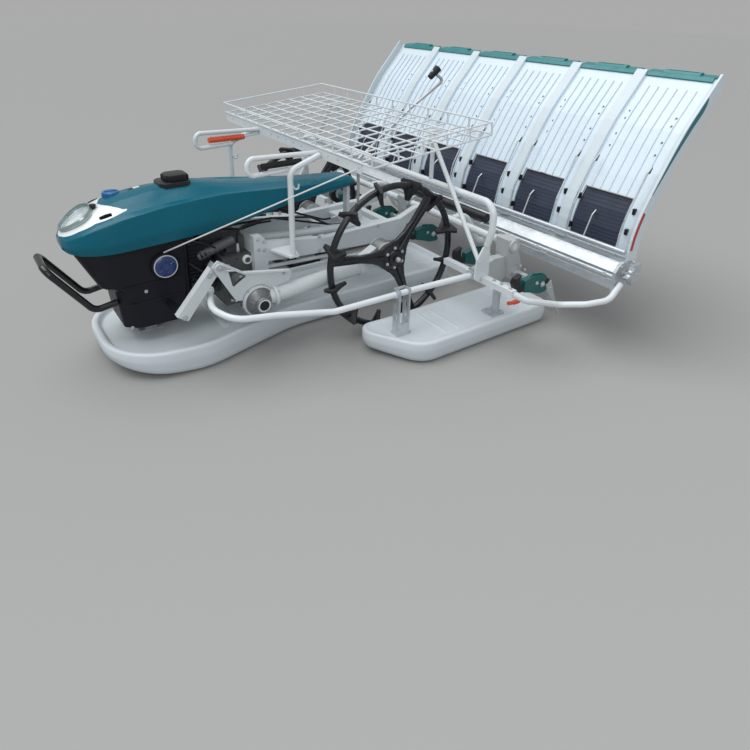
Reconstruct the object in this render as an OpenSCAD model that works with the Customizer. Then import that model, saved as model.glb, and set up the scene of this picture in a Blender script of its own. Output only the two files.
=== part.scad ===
// Walk-behind rice transplanter, six rows.
// Frame: +X forward (engine end), +Y the machine's left, +Z up, millimetres.
// The ground is Z = 0. Drawing coordinates have X = 0 at the wheel axle at rest;
// every node is then moved forward by x_shift, so the row's origin is mid-length.

/* [Layout] */
// distance from the wheel axle to the middle of the machine's length
x_shift = 75; // [0:1:200]
// spacing of the planted rows
row_pitch = 300; // [250:5:330]
// number of planted rows
rows = 6; // [4:2:8]

/* [Wheels] */
// distance of each wheel's middle plane from the centreline
wheel_y = 342; // [320:1:360]
// radius of the rim's middle circle
rim_r = 270; // [240:1:275]
// radius of the rim's round bar
rim_bar = 10; // [6:0.5:12]
// how far a lug's tip stands beyond the rim's middle circle
lug_reach = 20; // [14:1:24]
// number of lugs on a wheel
lug_count = 12; // [8:1:16]
// half width of a lug across the wheel
lug_half = 40; // [30:1:60]
// thickness of a lug
lug_t = 9; // [5:0.5:14]
// turn of each lug about its own radius, one way and the other by turns
lug_twist = 20; // [0:1:30]
// radius of the wheel shaft
shaft_r = 12; // [8:0.5:16]
// radial clearance of every turning fit
fit_gap = 0.05; // [0.02:0.01:0.1]

/* [Swing cases] */
// distance of the swing axis ahead of the wheel axle
swing_x = 512; // [450:1:560]
// height of the swing axis
swing_z = 214; // [180:1:260]
// distance of the swing case's middle plane from the centreline
swing_y = 268; // [250:1:290]
// radius of the swing case's tube
swing_tube_r = 28; // [20:1:36]
// radius of the output shaft that the swing case turns on
output_r = 20; // [12:1:24]

/* [Seedling tray] */
// panel left outside the outer bays, where a side plate is fixed
tray_margin = 4; // [2:0.5:12]
// thickness of the tray's panel
tray_t = 9; // [4:1:14]
// height of the dividers between the tray's bays
divider_h = 12; // [5:1:20]
// width of a divider
divider_w = 44; // [30:1:60]
// number of ribs between two dividers, and a rib's width and height
rib_count = 6; // [3:1:8]
rib_w = 8; // [4:1:12]
rib_h = 5; // [3:0.5:8]
// half width of a feed belt's window, and its middle's offset from the bay's
window_half = 104; // [80:1:108]
window_off = -12; // [-16:1:0]
// gap between the tray's lower edge and the guide rail
tray_gap = 6; // [5:1:10]

/* [Rack] */
// half width of the seedling rack
rack_half = 556; // [480:1:620]
// X of the rack's front edge and of its rear edge
rack_front = 249; // [200:1:300]
rack_rear = -234; // [-300:1:-180]
// height of the rack floor at its front edge and at its rear edge
rack_zf = 700; // [650:1:760]
rack_zr = 753; // [680:1:800]
// height of the rack's fence
fence_h = 42; // [30:1:60]
// radius of the rack's wires
wire_r = 3; // [2:0.5:4]

/* [Frame and tubes] */
// half spacing of the two hand loops
loop_y = 230; // [180:1:280]
// X of the arch tube and of the planting beams
arch_x = -180; // [-220:1:-150]
// half width of the arch tube and height of its top
arch_half = 655; // [600:1:700]
arch_z = 547; // [500:1:600]
// radius of the arch tube
arch_r = 12; // [10:1:15]
// radius of the side guard tubes
guard_r = 11; // [8:1:15]
// height of the planting beams
beam_z = 270; // [240:1:300]
// X and height of the cross pipe behind the wheels
cross_x = -322; // [-340:1:-318]
cross_z = 364; // [355:1:380]
// radius of that cross pipe
cross_r = 14; // [10:1:20]
// radius of a control cable
cable_r = 4; // [2:0.5:5]
// rear end of the handlebars
handle_rear = -1267; // [-1350:1:-1150]

/* [Hidden] */
$fn = 40;
teal = [0.0, 0.42, 0.42];
white = [0.92, 0.93, 0.93];
black = [0.06, 0.06, 0.07];
steel = [0.62, 0.64, 0.66];
grey = [0.5, 0.52, 0.53];
orange = [0.85, 0.3, 0.15];
wheel_r = rim_r + lug_reach;
tray_half = rows * row_pitch / 2 + tray_margin;
// half length of the guide rail, which reaches past the tray at both ends
rail_half = tray_half + 26;
// a hair of clearance between pieces that seat on each other
seat = 0.3;
// side profile of the tray's front face, from the lower edge up, as Z and X
tray_rows = [[339, -627], [410, -632], [479, -652], [542, -683], [653, -748],
             [758, -815], [844, -889], [931, -964]];
// hood stations: X, then half width and height of the lower edge, the widest line, the shoulder
// crease, the hollow above it and the dome's edge, then the height of the top
hood_table = [[1048, 40, 434, 46, 447, 38, 459, 30, 463, 18, 466, 468],
              [1034, 72, 427, 80, 444, 70, 468, 54, 475, 32, 480, 484],
              [1000, 104, 423, 114, 446, 104, 486, 80, 496, 46, 505, 512],
              [950, 128, 423, 138, 450, 128, 508, 100, 518, 60, 530, 539],
              [890, 140, 426, 149, 458, 137, 525, 110, 534, 74, 549, 560],
              [820, 142, 430, 151, 465, 137, 537, 108, 543, 82, 558, 576],
              [735, 142, 434, 150, 470, 132, 548, 102, 549, 74, 562, 587],
              [620, 138, 441, 146, 474, 128, 555, 96, 552, 60, 574, 587],
              [560, 134, 446, 141, 476, 123, 556, 92, 552, 60, 570, 578],
              [470, 126, 455, 132, 478, 113, 551, 88, 547, 62, 555, 562],
              [300, 102, 474, 108, 492, 93, 535, 78, 536, 58, 539, 545],
              [130, 76, 485, 82, 498, 72, 523, 62, 527, 50, 531, 534],
              [0, 52, 492, 56, 502, 49, 515, 42, 521, 36, 525, 528],
              [-28, 40, 495, 42, 500, 37, 507, 30, 510, 24, 512, 513]];
lug_list = [for (i = [0:lug_count - 1]) i * 360 / lug_count + 15];
row_list = [for (i = [0:rows - 1]) (i - (rows - 1) / 2) * row_pitch];
bay_edges = [for (i = [0:rows]) (i - rows / 2) * row_pitch];
case_list = [-2 * row_pitch, 0, 2 * row_pitch];

function unit(v) = v / norm(v);
// closed outline moved inward by d, for an outline listed anticlockwise
function inset(p, d) = let (n = len(p)) [for (i = [0:n - 1])
    let (a = p[(i + n - 1) % n], b = p[i], c = p[(i + 1) % n],
         u = unit(b - a), v = unit(c - b),
         nu = [-u[1], u[0]], nv = [-v[1], v[0]])
    b + (nu + nv) * d / (1 + nu * nv)];
function lay(p, z) = [for (q = p) [q[0], q[1], z]];
// arc of radius r in the corner at b between its neighbours a and c, in k steps
function corner(a, b, c, r, k) = let (u = unit(a - b), v = unit(c - b), h = acos(u * v) / 2,
    m = b + unit(u + v) * r / sin(h), s = b + u * r / tan(h) - m, a0 = atan2(s[1], s[0]),
    turn = (180 - 2 * h) * (u[0] * v[1] - u[1] * v[0] < 0 ? 1 : -1))
    [for (i = [0:k]) m + r * [cos(a0 + turn * i / k), sin(a0 + turn * i / k)]];
// closed outline from corners given as X, Y and radius
function rounded(p, k) = let (n = len(p), xy = [for (q = p) [q[0], q[1]]])
    [for (i = [0:n - 1]) each corner(xy[(i + n - 1) % n], xy[i], xy[(i + 1) % n], p[i][2], k)];
// slope of column j of a table from row i to the next, and at row i, level where the column turns
function chord(t, i, j) = (t[i + 1][j] - t[i][j]) / (t[i + 1][0] - t[i][0]);
function slope(t, i, j) = i == 0 ? chord(t, 0, j) : i == len(t) - 1 ? chord(t, i - 1, j) :
    let (p = chord(t, i - 1, j), q = chord(t, i, j)) p * q <= 0 ? 0 : 2 * p * q / (p + q);
// row of a table a share s of the way from row i to the next, on a smooth curve
function row_at(t, i, s) = let (w = t[i + 1][0] - t[i][0]) [for (j = [0:len(t[0]) - 1])
    j == 0 ? t[i][0] + s * w :
    (2 * s * s * s - 3 * s * s + 1) * t[i][j] + (s * s * s - 2 * s * s + s) * w * slope(t, i, j)
    + (3 * s * s - 2 * s * s * s) * t[i + 1][j] + (s * s * s - s * s) * w * slope(t, i + 1, j)];
// table with k rows for each of its own
function refine(t, k) =
    concat([for (i = [0:len(t) - 2], s = [0:k - 1]) row_at(t, i, s / k)], [t[len(t) - 1]]);

module place() translate([x_shift, 0, 0]) children();
module both() { children(); mirror([0, 1, 0]) children(); }
// plate cut from an X-Z outline, from y to y + t
module plate_xz(p, y, t) translate([0, y + t, 0]) rotate([90, 0, 0]) linear_extrude(t) polygon(p);
// plate cut from an X-Y outline, from z to z + t
module plate_xy(p, z, t) translate([0, 0, z]) linear_extrude(t) polygon(p);
// box given by its low corner and its high corner
module box(a, b) translate(a) cube(b - a);
// round bar from a to b
module rod(a, b, r) {
    d = b - a;
    h = norm(d);
    translate(a) rotate([0, acos(d[2] / h), atan2(d[1], d[0])]) cylinder(h = h, r = r);
}
// straight cylinder along Y
module disc_y(x, z, y0, y1, r) translate([x, y1, z]) rotate([90, 0, 0]) cylinder(h = y1 - y0, r = r);
module cone_y(x, z, y0, y1, r0, r1)
    translate([x, y0, z]) rotate([-90, 0, 0]) cylinder(h = y1 - y0, r1 = r0, r2 = r1);
// thin bent rod: straight lengths that lap a little at each bend
module wire(p, r) for (i = [0:len(p) - 2]) {
    u = unit(p[i + 1] - p[i]);
    rod(p[i] - (i > 0 ? 0.4 * r : 0) * u, p[i + 1] + (i < len(p) - 2 ? 0.4 * r : 0) * u, r);
}
// bent tube through the points p with bends of radius bend
module tube(p, r, bend) {
    n = len(p);
    cut = [for (i = [0:n - 1]) i == 0 || i == n - 1 ? 0 :
        bend * tan(acos(unit(p[i] - p[i - 1]) * unit(p[i + 1] - p[i])) / 2)];
    for (i = [0:n - 2]) {
        u = unit(p[i + 1] - p[i]);
        rod(p[i] + u * cut[i], p[i + 1] - u * cut[i + 1], r);
    }
    // each elbow is a hair thicker than the bar and laps over its ends
    for (i = [1:n - 2]) {
        u = unit(p[i] - p[i - 1]);
        v = unit(p[i + 1] - p[i]);
        turn = acos(u * v);
        lap = asin(min(2, r) / bend);
        m = unit(v - u * (u * v));
        w = cross(u, m);
        c = p[i] - u * cut[i] + m * bend;
        multmatrix([[-m[0], u[0], w[0], c[0]], [-m[1], u[1], w[1], c[1]],
                    [-m[2], u[2], w[2], c[2]], [0, 0, 0, 1]])
            rotate([0, 0, -lap]) rotate_extrude(angle = turn + 2 * lap) translate([bend,
                0]) circle(r + 0.3);
    }
}
// closed solid through a stack of rings with equal numbers of points;
// a flat one has the middles of its end faces level with their lowest points
module skin(rings, flat = false) {
    n = len(rings[0]);
    k = len(rings);
    pts = [for (r = rings) each r];
    mean = function(r) [for (j = [0:2]) ([for (q = r) 1] * [for (q = r) q[j]]) / n];
    mid = function(r) let (m = mean(r)) [m[0], m[1], flat ? min([for (q = r) q[2]]) : m[2]];
    polyhedron(
        points = concat(pts, [mid(rings[0]), mid(rings[k - 1])]),
        faces = concat(
            [for (i = [0:n - 1]) [i, (i + 1) % n, k * n]],
            [for (i = [0:n - 1]) [(k - 1) * n + (i + 1) % n, (k - 1) * n + i, k * n + 1]],
            [for (a = [0:k - 2], i = [0:n - 1]) [a * n + i, (a + 1) * n + i, (a + 1) * n + (i + 1) % n]],
            [for (a = [0:k - 2], i = [0:n - 1]) [a * n + i, (a + 1) * n + (i + 1) % n,
                a * n + (i + 1) % n]]));
}

// rows drawn for each of the table's own
hood_steps = 2;
hood_rows = refine(hood_table, hood_steps);
// section of the hood at a station, drawn smaller by t on every side
function hood_half(s, t) = [[s[1] - t, s[2]], [s[3] - t, s[4]], [s[5] - t, s[6] - 0.6 * t],
    [s[7] - 0.6 * t, s[8] - t], [s[9] - 0.4 * t, s[10] - t],
    [0.55 * s[9], s[10] + 0.84 * (s[11] - s[10]) - t]];
function hood_ring(s, t) = let (h = hood_half(s, t)) concat([for (q = h) [s[0], q[0], q[1]]],
    [[s[0], 0, s[11] - t]], [for (i = [5:-1:0]) [s[0], -h[i][0], h[i][1]]]);
ring_n = 13;
module hood_body() skin([for (s = hood_rows) hood_ring(s, 0)]);
// the same loft hollowed from below, its walls t thick, closed at the nose and the tail
module hood_shell(t) {
    n = len(hood_rows);
    m = ring_n;
    // the hollow ends one station short of the tail
    last = n - 1 - hood_steps;
    o = [for (s = hood_rows) hood_ring(s, 0)];
    c = [for (i = [1:last]) hood_ring(hood_rows[i], t)];
    k = m * n;
    e = k + m * (last - 1);
    l = m * last;
    // sides of the outer skin and the inner one
    outer = [for (a = [0:n - 2], i = [0:m - 2]) let (q = a * m + i)
        each [[q, q + m, q + m + 1], [q, q + m + 1, q + 1]]];
    inner = [for (a = [0:last - 2], i = [0:m - 2]) let (q = k + a * m + i)
        each [[q, q + m + 1, q + m], [q, q + 1, q + m + 1]]];
    // rims along the two lower edges
    rims = [for (a = [1:last - 1]) let (q = a * m, w = k + a * m - m)
        each [[q, w, w + m], [q, w + m, q + m],
              [q + m - 1, w + 2 * m - 1, w + m - 1], [q + m - 1, q + 2 * m - 1, w + 2 * m - 1]]];
    polyhedron(
        points = concat([for (r = o) each r], [for (r = c) each r]),
        faces = concat(outer, inner, rims,
            [for (i = [1:m - 2]) [0, i, i + 1]],
            [for (i = [1:m - 2]) [k - m, k - m + i + 1, k - m + i]],
            [for (i = [1:m - 2]) [k, k + i + 1, k + i]],
            [for (i = [1:m - 2]) [e, e + i, e + i + 1]],
            // floor ahead of and behind the opening
            [[0, m - 1, 2 * m - 1], [0, 2 * m - 1, k + m - 1], [0, k + m - 1, k], [0, k, m]],
            [[l + m, l, e], [l + m, e, e + m - 1], [l + m, e + m - 1, l + m - 1],
             [l + m, l + m - 1, l + 2 * m - 1]],
            [for (a = [last + 1:n - 2]) let (q = a * m)
                each [[q + m, q, q + m - 1], [q + m, q + m - 1, q + 2 * m - 1]]]));
}
// seams of the lamp: the white bezel meets the hood along one, the clear lens meets the bezel
// along the other; the hood runs forward between them as a tongue on the centreline
bezel_seam = [[1052, 466], [1000, 495], [950, 518], [890, 535], [850, 546]];
lens_seam = [[1052, 472], [1000, 505], [950, 533], [922, 549]];
module above(seam) plate_xz(concat([[1100, seam[0][1] - 12]], seam,
    [[seam[len(seam) - 1][0], 700], [1100, 700]]), -200, 400);
// the hood's tongue on the centreline, which the bezel is notched for
module tongue() plate_xy([[700, 200], [700, -200], [862, -200], [862, -90], [905, -40], [918, 0], [905, 40],
                          [862, 90], [862, 200]], 400, 300);
module bezel_cut() difference() {
    above(bezel_seam);
    tongue();
}
module lens_cut() above(lens_seam);
// round pieces let into the hood: X, Y and radius of the fuel cap and of the lamp's knob
fuel_cap = [866, -40, 25];
lamp_knob = [937, 20, 9];
module let_in(c, grow, z0, z1) translate([c[0], c[1], z0]) cylinder(h = z1 - z0, r = c[2] + grow);
// outline of the stepped cap's lower part, anticlockwise
cap_base = [[626, -34], [640, -46], [714, -46], [728, -32], [728, 32], [714, 46], [640, 46], [626, 34]];

module hood() color(teal) place() difference() {
    hood_shell(4);
    bezel_cut();
    plate_xy(inset(cap_base, -seat), 500, 200);
    let_in(fuel_cap, seat, 500, 700);
}
module lamp_lens() color([0.8, 0.85, 0.88]) place() difference() {
    intersection() { hood_shell(3); lens_cut(); }
    let_in(lamp_knob, seat, 400, 700);
}
module lamp_bezel() color(white) place() difference() {
    intersection() { hood_shell(16); above(bezel_seam); }
    tongue();
    lens_cut();
    // pocket of the reflector
    plate_xz([[1012, 492.5], [1022, 512], [1000, 560], [940, 560], [960, 519]], -34, 68);
    let_in(lamp_knob, seat, 500, 700);
}
// stepped cap let into the roof, and the lamp's knob
module hood_cap() color(black) place() {
    plate_xy(cap_base, 562, 33);
    plate_xy([[628, -22], [642, -36], [690, -36], [704, -22], [704, 22], [690, 36], [642, 36], [628,
        22]], 594, 23);
    let_in(lamp_knob, 0, 530, 556);
}
// front and side outline of the engine shroud
shroud_line = [[1030, 432], [966, 296], [926, 276], [914, 141], [732, 141], [700, 240], [690, 430]];
module shroud_shell() intersection() {
    difference() {
        plate_xz(shroud_line, -118, 236);
        plate_xz(inset([for (i = [len(shroud_line) - 1:-1:0]) shroud_line[i]], 4), -114, 228);
        box([680, -114, 400], [1010, 114, 460]);
        box([680, -114, 150], [735, 114, 460]);
    }
    plate_xy([[600, -118], [925, -118], [1040, -60], [1040, 60], [925, 118], [600, 118]], 100, 400);
}
// ledge on each side of the shroud that the hood's lower edge rests against
module hood_ledges() both() box([795, 117, 424], [840, 137.2, 434]);
module engine_shroud() color(black) place() {
    shroud_shell();
    hood_ledges();
}
// one plain block, with the pipe that shows behind the shroud
module engine_block() color(grey) place() {
    box([600.3, -96, 210], [880, 96, 392]);
    box([735, -80, 145.3], [900, 80, 212]);
    rod([640, 92, 345], [520, 104, 386], 16);
}
module recoil_cover() color([0.1, 0.2, 0.5]) place() {
    cone_y(768, 348, 118.3, 134, 46, 42);
    cone_y(768, 348, 133, 140, 34, 28);
    let_in(fuel_cap, 0, 552, 572);
}
module bumper() color(black) place()
    tube([[924, 80, 238], [995, 80, 226], [1112, 80, 392], [1112, -80, 392], [995, -80, 226], [924,
        -80, 238]],
         11, 34);
module gearbox() color(grey) place() {
    box([440, -129.7, 150], [575, 129.7, 330]);
    box([560, -60, 180], [600, 60, 300]);
    // split flange, housing on top, output necks and their shafts
    box([472, -4, 144], [580, 4, 331]);
    box([472, -70, 329], [540, 80, 384]);
    both() cone_y(swing_x, swing_z, 129, 160, 60, 46);
    both() disc_y(swing_x, swing_z, 129, 236, 43);
    both() disc_y(swing_x, swing_z, 235, 300, output_r);
    // round cover on the near side and a foot for each cable
    disc_y(486, 312, 129, 139, 14);
    for (p = cable_foot) translate([p[0], p[1], 329]) cylinder(h = foot_top - 329, r = cable_r + 4);
}
// places on the gearbox where two of the cables end
cable_foot = [[506, 104], [556, -30]];
foot_top = 338;
// X and height of the lever's seat, where all cables reach the rear of the frame
seat_x = -4;
seat_z = 334;
cable_z = seat_z - 6;
cable_routes = [
    [[506, 104, foot_top + seat], [506, 104, 424], [380, 104, 438], [200, 80, 404], [70, 40, cable_z],
     [seat_x + seat, 40, cable_z]],
    [[556, -30, foot_top + seat], [556, -30, 412], [300, -60, 424], [60, -60, cable_z],
     [seat_x + seat, -60, cable_z]],
    [[600, 20, 376], [572, 20, 376], [535, 20, 408], [330, 30, 408], [60, 15, cable_z],
     [seat_x + seat, 15, cable_z]]];
module control_cables() color(black) place() for (r = cable_routes) tube(r, cable_r, 24);
// rear end of the side channels, in front of the cross pipe
frame_end = cross_x + cross_r + seat;
module main_frame() color(white) place() {
    both() {
        // side channel with its deep front end, and the stay below it
        plate_xz([[469, 401], [469, 266], [418, 266], [418, 299], [186, 286], [-200, 270], [-200, 328],
                  [frame_end, 344], [frame_end, 388], [-250, 388], [-170, 356], [172, 342], [414, 370],
                  [440, 401]], 130, 30);
        tube([[440, 145, 273], [150, 145, 262], [100, 145, 292]], 7, 24);
    }
    box([60, -135, 285], [90, 135, 315]);
    box([-170, -135, 290], [-140, 135, 330]);
    rod([452, 70, 362], [-150, 70, 316], 16);
    box([440, -160, 332], [469, 160, 380]);
    // post under the hood's tail
    box([-20, -14, seat_z - 2], [-6, 14, 492.1]);
    // seat of the shift lever
    box([-96, -135, seat_z - 12], [seat_x, 135, seat_z]);
    translate([-70, 0, seat_z - 2]) cylinder(h = 68, r = 16);
}
module front_stays() color(white) place() both() {
    plate_xz([[652, 372], [628, 350], [752, 196], [786, 218]], 226, 28);
    box([756, 118.3, 204], [778, 227, 216]);
}
// float outlines, anticlockwise, as corners with X, Y and radius
half_c = [[994, 235, 200], [690, 268, 300], [330, 168, 400], [-480, 168, 60]];
outline_c = rounded(concat(half_c, [for (i = [3:-1:0]) [half_c[i][0], -half_c[i][1], half_c[i][2]]]), 7);
outline_s = rounded([[-560, 402, 45], [246, 402, 55], [84, 650, 120], [-560, 650, 45]], 7);
// height of each float and how far its deck lies below its rim
float_h = 98;
side_h = 84;
deck_drop = 16;
function nose(x, x0, x1, h) = x < x0 ? 0 : h * pow((x - x0) / (x1 - x0), 2);
function keel(p, z, x0, x1, h) = [for (q = p) [q[0], q[1], z + nose(q[0], x0, x1, h)]];
module float_shell(p, x0, x1, lift, h, rim, drop) skin([
    keel(inset(p, 24), 0, x0, x1, lift), keel(inset(p, 8), 12, x0, x1, lift),
    keel(inset(p, 2), h * 0.55, x0, x1, lift * 0.5), keel(p, h * 0.6, x0, x1, lift * 0.4),
    keel(inset(p, 1), h - 4, x0, x1, 6), keel(inset(p, 5), h, x0, x1, 6),
    keel(inset(p, rim - 4), h, x0, x1, 6), keel(inset(p, rim + 4), h - drop, x0, x1, 0)], true);
module float_centre() color(white) place()
    float_shell(outline_c, 700, 994, 44, float_h, 26, deck_drop);
module float_side() float_shell(outline_s, 20, 205, 24, side_h, 22, 3);
module float_left() color(white) place() float_side();
module float_right() color(white) place() mirror([0, 1, 0]) float_side();
// tops of the two decks that the brackets stand on
deck_c = float_h - deck_drop + seat;
deck_s = side_h - 3 + seat;
guard_run = [[655, 205, 262], [690, 300, 244], [650, 392, 232], [515, 415, 222], [330, 470, 208],
             [40, 538, 246], [arch_x + 8, 592, beam_z]];
// the rear guard ends against the outer face of the guide rail's end block
guard_end = rail_half + 12 + guard_r + seat;
rear_run = [[arch_x, 780, beam_z - 2], [-215, 812, 246], [-372, 826, 196], [-440, 890, 206],
            [-470, guard_end, 240], [-520, guard_end, 290]];
module float_brackets() color(steel) place() {
    both() difference() {
        // front clamp: two upright plates on the float, with slots, that hold the guard tube
        union() {
            box([62, 504, deck_s], [119, 546, deck_s + 8]);
            for (x = [70, 112]) box([x, 510, deck_s + 7], [x + 6, 546, 258]);
            box([70, 510, 250], [118, 516, 258]);
            box([70, 540, deck_s + 7], [118, 546, 130]);
        }
        rod(guard_run[4], guard_run[5], guard_r + 0.2);
        for (z = [140, 180]) box([60, 522, z], [130, 534, z + 26]);
    }
    both() {
        // rear arm from the planting case
        box([-330, 560, deck_s], [-270, 620, deck_s + 8]);
        box([-306, 586, deck_s + 7], [-294, 614, 229.7]);
    }
    // centre float: front link and rear arm
    box([780, -40, deck_c], [860, 40, deck_c + 8]);
    both() box([800, 28, deck_c + 7], [840, 34, 140.7]);
    box([-240, -30, deck_c], [-180, 30, deck_c + 8]);
    box([-216, -14, deck_c + 7], [-204, 14, 290.3]);
    box([-216, -130, 280], [-200.3, 130, 300]);
}
module side_guard() difference() {
    union() {
        tube(guard_run, guard_r, 34);
        tube(rear_run, guard_r, 34);
    }
    beam(seat);
}
module side_guard_left() color(white) place() side_guard();
module side_guard_right() color(white) place() mirror([0, 1, 0]) side_guard();
// square planting beam and the sleeve at its outer end, grown by gap
module beam(gap) {
    box([arch_x - 12 - gap, 438 - gap, beam_z - 11 - gap], [arch_x + 12 + gap, 784 + gap,
        beam_z + 11 + gap]);
    box([arch_x - 14 - gap, 560 - gap, beam_z - 12 - gap], [arch_x + 14 + gap, 706 + gap,
        beam_z + 12 + gap]);
}
module planting_beams() color(white) place() {
    both() beam(0);
    // cross pipe that carries the planting cases
    disc_y(cross_x, cross_z, -640, 640, cross_r);
}
// place of the crank shaft that drives the planting arms, and half width of an arm
crank_x = -350;
crank_z = 256;
arm_half = 11;
// planting case outline, hung from the cross pipe down to the crank shaft
case_line = [[-298, 386], [-300, 330], [-318, 240], [-338, 226], [-366, 228], [-380, 250], [-372, 300],
             [-352, 340], [-350, 386]];
// forward arm of an outer case, down to the planting beam
arm_line = [[-168, 296], [-168, 262], [-200, 250], [-300, 230], [-318, 240], [-304, 320], [-250, 322]];
module planting_cases() color(white) place() for (y = case_list) difference() {
    union() {
        plate_xz(case_line, y - 30, 60);
        if (y != 0) plate_xz(arm_line, y - 16, 32);
        // bearing bosses of the crank shaft and the clamp on the pipe
        disc_y(crank_x, crank_z, y - 36, y + 36, 20);
        disc_y(cross_x, cross_z, y - 42, y + 42, cross_r + 9);
    }
    disc_y(cross_x, cross_z, y - 50, y + 50, cross_r + 0.2);
    beam(seat);
    mirror([0, 1, 0]) beam(seat);
}
module planting_arms() color(teal) place() for (y = row_list) {
    plate_xz([[-258, 288], [-258, 246], [-290, 238], [-330, 224], [-366, 222], [-392, 238], [-388, 266],
              [-350, 290], [-300, 298]], y - arm_half, 2 * arm_half);
    // raised rib along the back
    plate_xz([[-262, 280], [-300, 304], [-352, 296], [-380, 276], [-370, 262], [-300, 280]], y - 3, 6);
}
// black fin ahead of each arm, and the black cover over the middle of the tray's drive shaft
shaft_cover = [-534, 329, 285, 20];
module arm_covers() color(black) place() {
    for (y = row_list)
        plate_xz([[-204, 288], [-210, 306], [-238, 316], [-232, 300], [-236, 280], [-257.7, 262],
            [-257.7, 250],
                  [-236, 250], [-215, 264]], y - 10, 20);
    disc_y(shaft_cover[0], shaft_cover[1], -shaft_cover[2], shaft_cover[2], shaft_cover[3]);
}
module planting_claws() color(steel) place() {
    for (y = row_list, d = [-arm_half - 3.3, arm_half + 0.3])
        plate_xz([[-366, 250], [-392, 262], [-404, 236], [-436, 168], [-470, 112], [-462, 106], [-424, 160],
                  [-384, 214]], y + d, 3);
    // crank shafts from each case to the arms beside it
    for (y = case_list, s = [-1, 1]) {
        a = y + s * (36 + seat);
        b = y + s * (row_pitch / 2 - arm_half - seat);
        disc_y(crank_x, crank_z, min(a, b), max(a, b), 10);
    }
}

// guide rail: a folded strip under the tray's lower edge, a shaft ahead of it and a front strip
module guide_rail() color(steel) place() {
    plate_xz([[-640, 333], [-640, 321], [-596, 321], [-566, 296], [-566, 284], [-554, 284], [-554, 304],
              [-590, 333]], -rail_half, 2 * rail_half);
    disc_y(-528, 300, -rail_half, rail_half, 7);
    plate_xz([[-520, 262], [-510, 262], [-510, 290], [-520, 290]], -rail_half, 2 * rail_half);
    for (y = [-rail_half, -2 * row_pitch, -row_pitch, 0, row_pitch, 2 * row_pitch, rail_half - 30])
        box([-572, y, 286], [-508, y + 30, 294]);
    // saddles under the drive shaft's cover
    for (y = [-220, 220])
        box([shaft_cover[0] - 1, y - 8, 300], [shaft_cover[0] + 13, y + 8,
            shaft_cover[1] - shaft_cover[3] - seat]);
}
// end block of the guide rail, its bolt and its star knob
module rail_ends() color(steel) place() both() {
    plate_xz([[-644, 333], [-644, 300], [-580, 270], [-500, 255], [-496, 330], [-512, 354], [-534, 362],
              [-556, 358], [-590, 333]], rail_half, 12);
    disc_y(-545, 320, rail_half + 11, rail_half + 32, 8);
    disc_y(-545, 320, rail_half + 11, rail_half + 18, 14);
    plate_xz([[-545, 352], [-556, 326], [-584, 320], [-556, 312], [-545, 286], [-534, 312], [-508, 320],
              [-534, 326]], rail_half + 30, 18);
}
// lower ends of the arch tube, and the gussets they stand on
foot_z = 395.6;
module arch_tube() color(white) place()
    tube([[arch_x, -arch_half + 16, foot_z], [arch_x, -arch_half, 450], [arch_x, -arch_half, arch_z],
          [arch_x, arch_half, arch_z], [arch_x, arch_half, 450], [arch_x, arch_half - 16, foot_z]],
              arch_r, 50);
function rack_z(x) = rack_zf + (rack_zr - rack_zf) * (rack_front - x) / (rack_front - rack_rear);
// front post's distance from the centreline, and the foot plate that ties it to the main frame
post_y = loop_y + 21;
post_foot = 337;
module rack_supports() color(white) place() both() {
    // gusset between arch foot, brace foot and beam
    plate_xz([[arch_x - 14, 392], [arch_x - 20, beam_z + 12.3], [arch_x + 46, beam_z + 12.3],
              [arch_x + 42, 350], [arch_x + 16, 392]], arch_half - 20, 7);
    rod([arch_x + 30, 638, 340], [arch_x + 30, 338, 735], 8);
    // rear post on the arch, with the top plate under the rack
    rod([arch_x, 322, arch_z + arch_r + seat], [arch_x, 322, 735], 8);
    box([arch_x - 12, 308, 733], [arch_x + 38, 352, 739.5]);
    // front post beside the hand loop, its foot plate and its hook
    tube([[365, post_y, post_foot + 7], [365, post_y, 640], [rack_front + 4, post_y, 680]], 10, 36);
    plate_xy([[320, 160.3], [412, 160.3], [382, post_y + 11], [348, post_y + 11]], post_foot, 8);
    tube([[357, post_y, 590], [348, post_y, 576], [336, post_y, 576], [334, post_y, 592]], 3, 5);
}
module rack_basket() color(white) place() {
    a = atan((rack_zr - rack_zf) / (rack_front - rack_rear));
    l = (rack_front - rack_rear) / cos(a);
    translate([rack_front, 0, rack_zf]) rotate([0, a, 0]) {
        // floor wires, along then across
        for (i = [0:14]) rod([0, (i / 7 - 1) * rack_half, 0], [-l, (i / 7 - 1) * rack_half, 0], wire_r);
        for (i = [0:8]) rod([-i * l / 8, -rack_half, 3], [-i * l / 8, rack_half, 3], wire_r);
        // fence rails and their uprights
        for (x = [0, -l]) rod([x, -rack_half, fence_h], [x, rack_half, fence_h], wire_r);
        for (y = [-rack_half, rack_half]) rod([0, y, fence_h], [-l, y, fence_h], wire_r);
        for (x = [0, -l], i = [0:10])
            rod([x, (i / 5 - 1) * rack_half, 0], [x, (i / 5 - 1) * rack_half, fence_h], wire_r);
        for (y = [-rack_half, rack_half], i = [1:4]) rod([-i * l / 5, y, 0], [-i * l / 5, y, fence_h],
            wire_r);
    }
    // perforated angle bar below the front edge
    difference() {
        box([rack_front - 4, -rack_half + 6, rack_zf - 32], [rack_front, rack_half - 60, rack_zf - 1]);
        for (y = [-480:60:480]) if (abs(abs(y) - 210) > 40)
            rod([rack_front - 10, y, rack_zf - 17], [rack_front + 10, y, rack_zf - 17], 4.5);
    }
    box([rack_front - 28, -rack_half + 6, rack_zf - 5], [rack_front, rack_half - 60, rack_zf - 2]);
}
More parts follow.
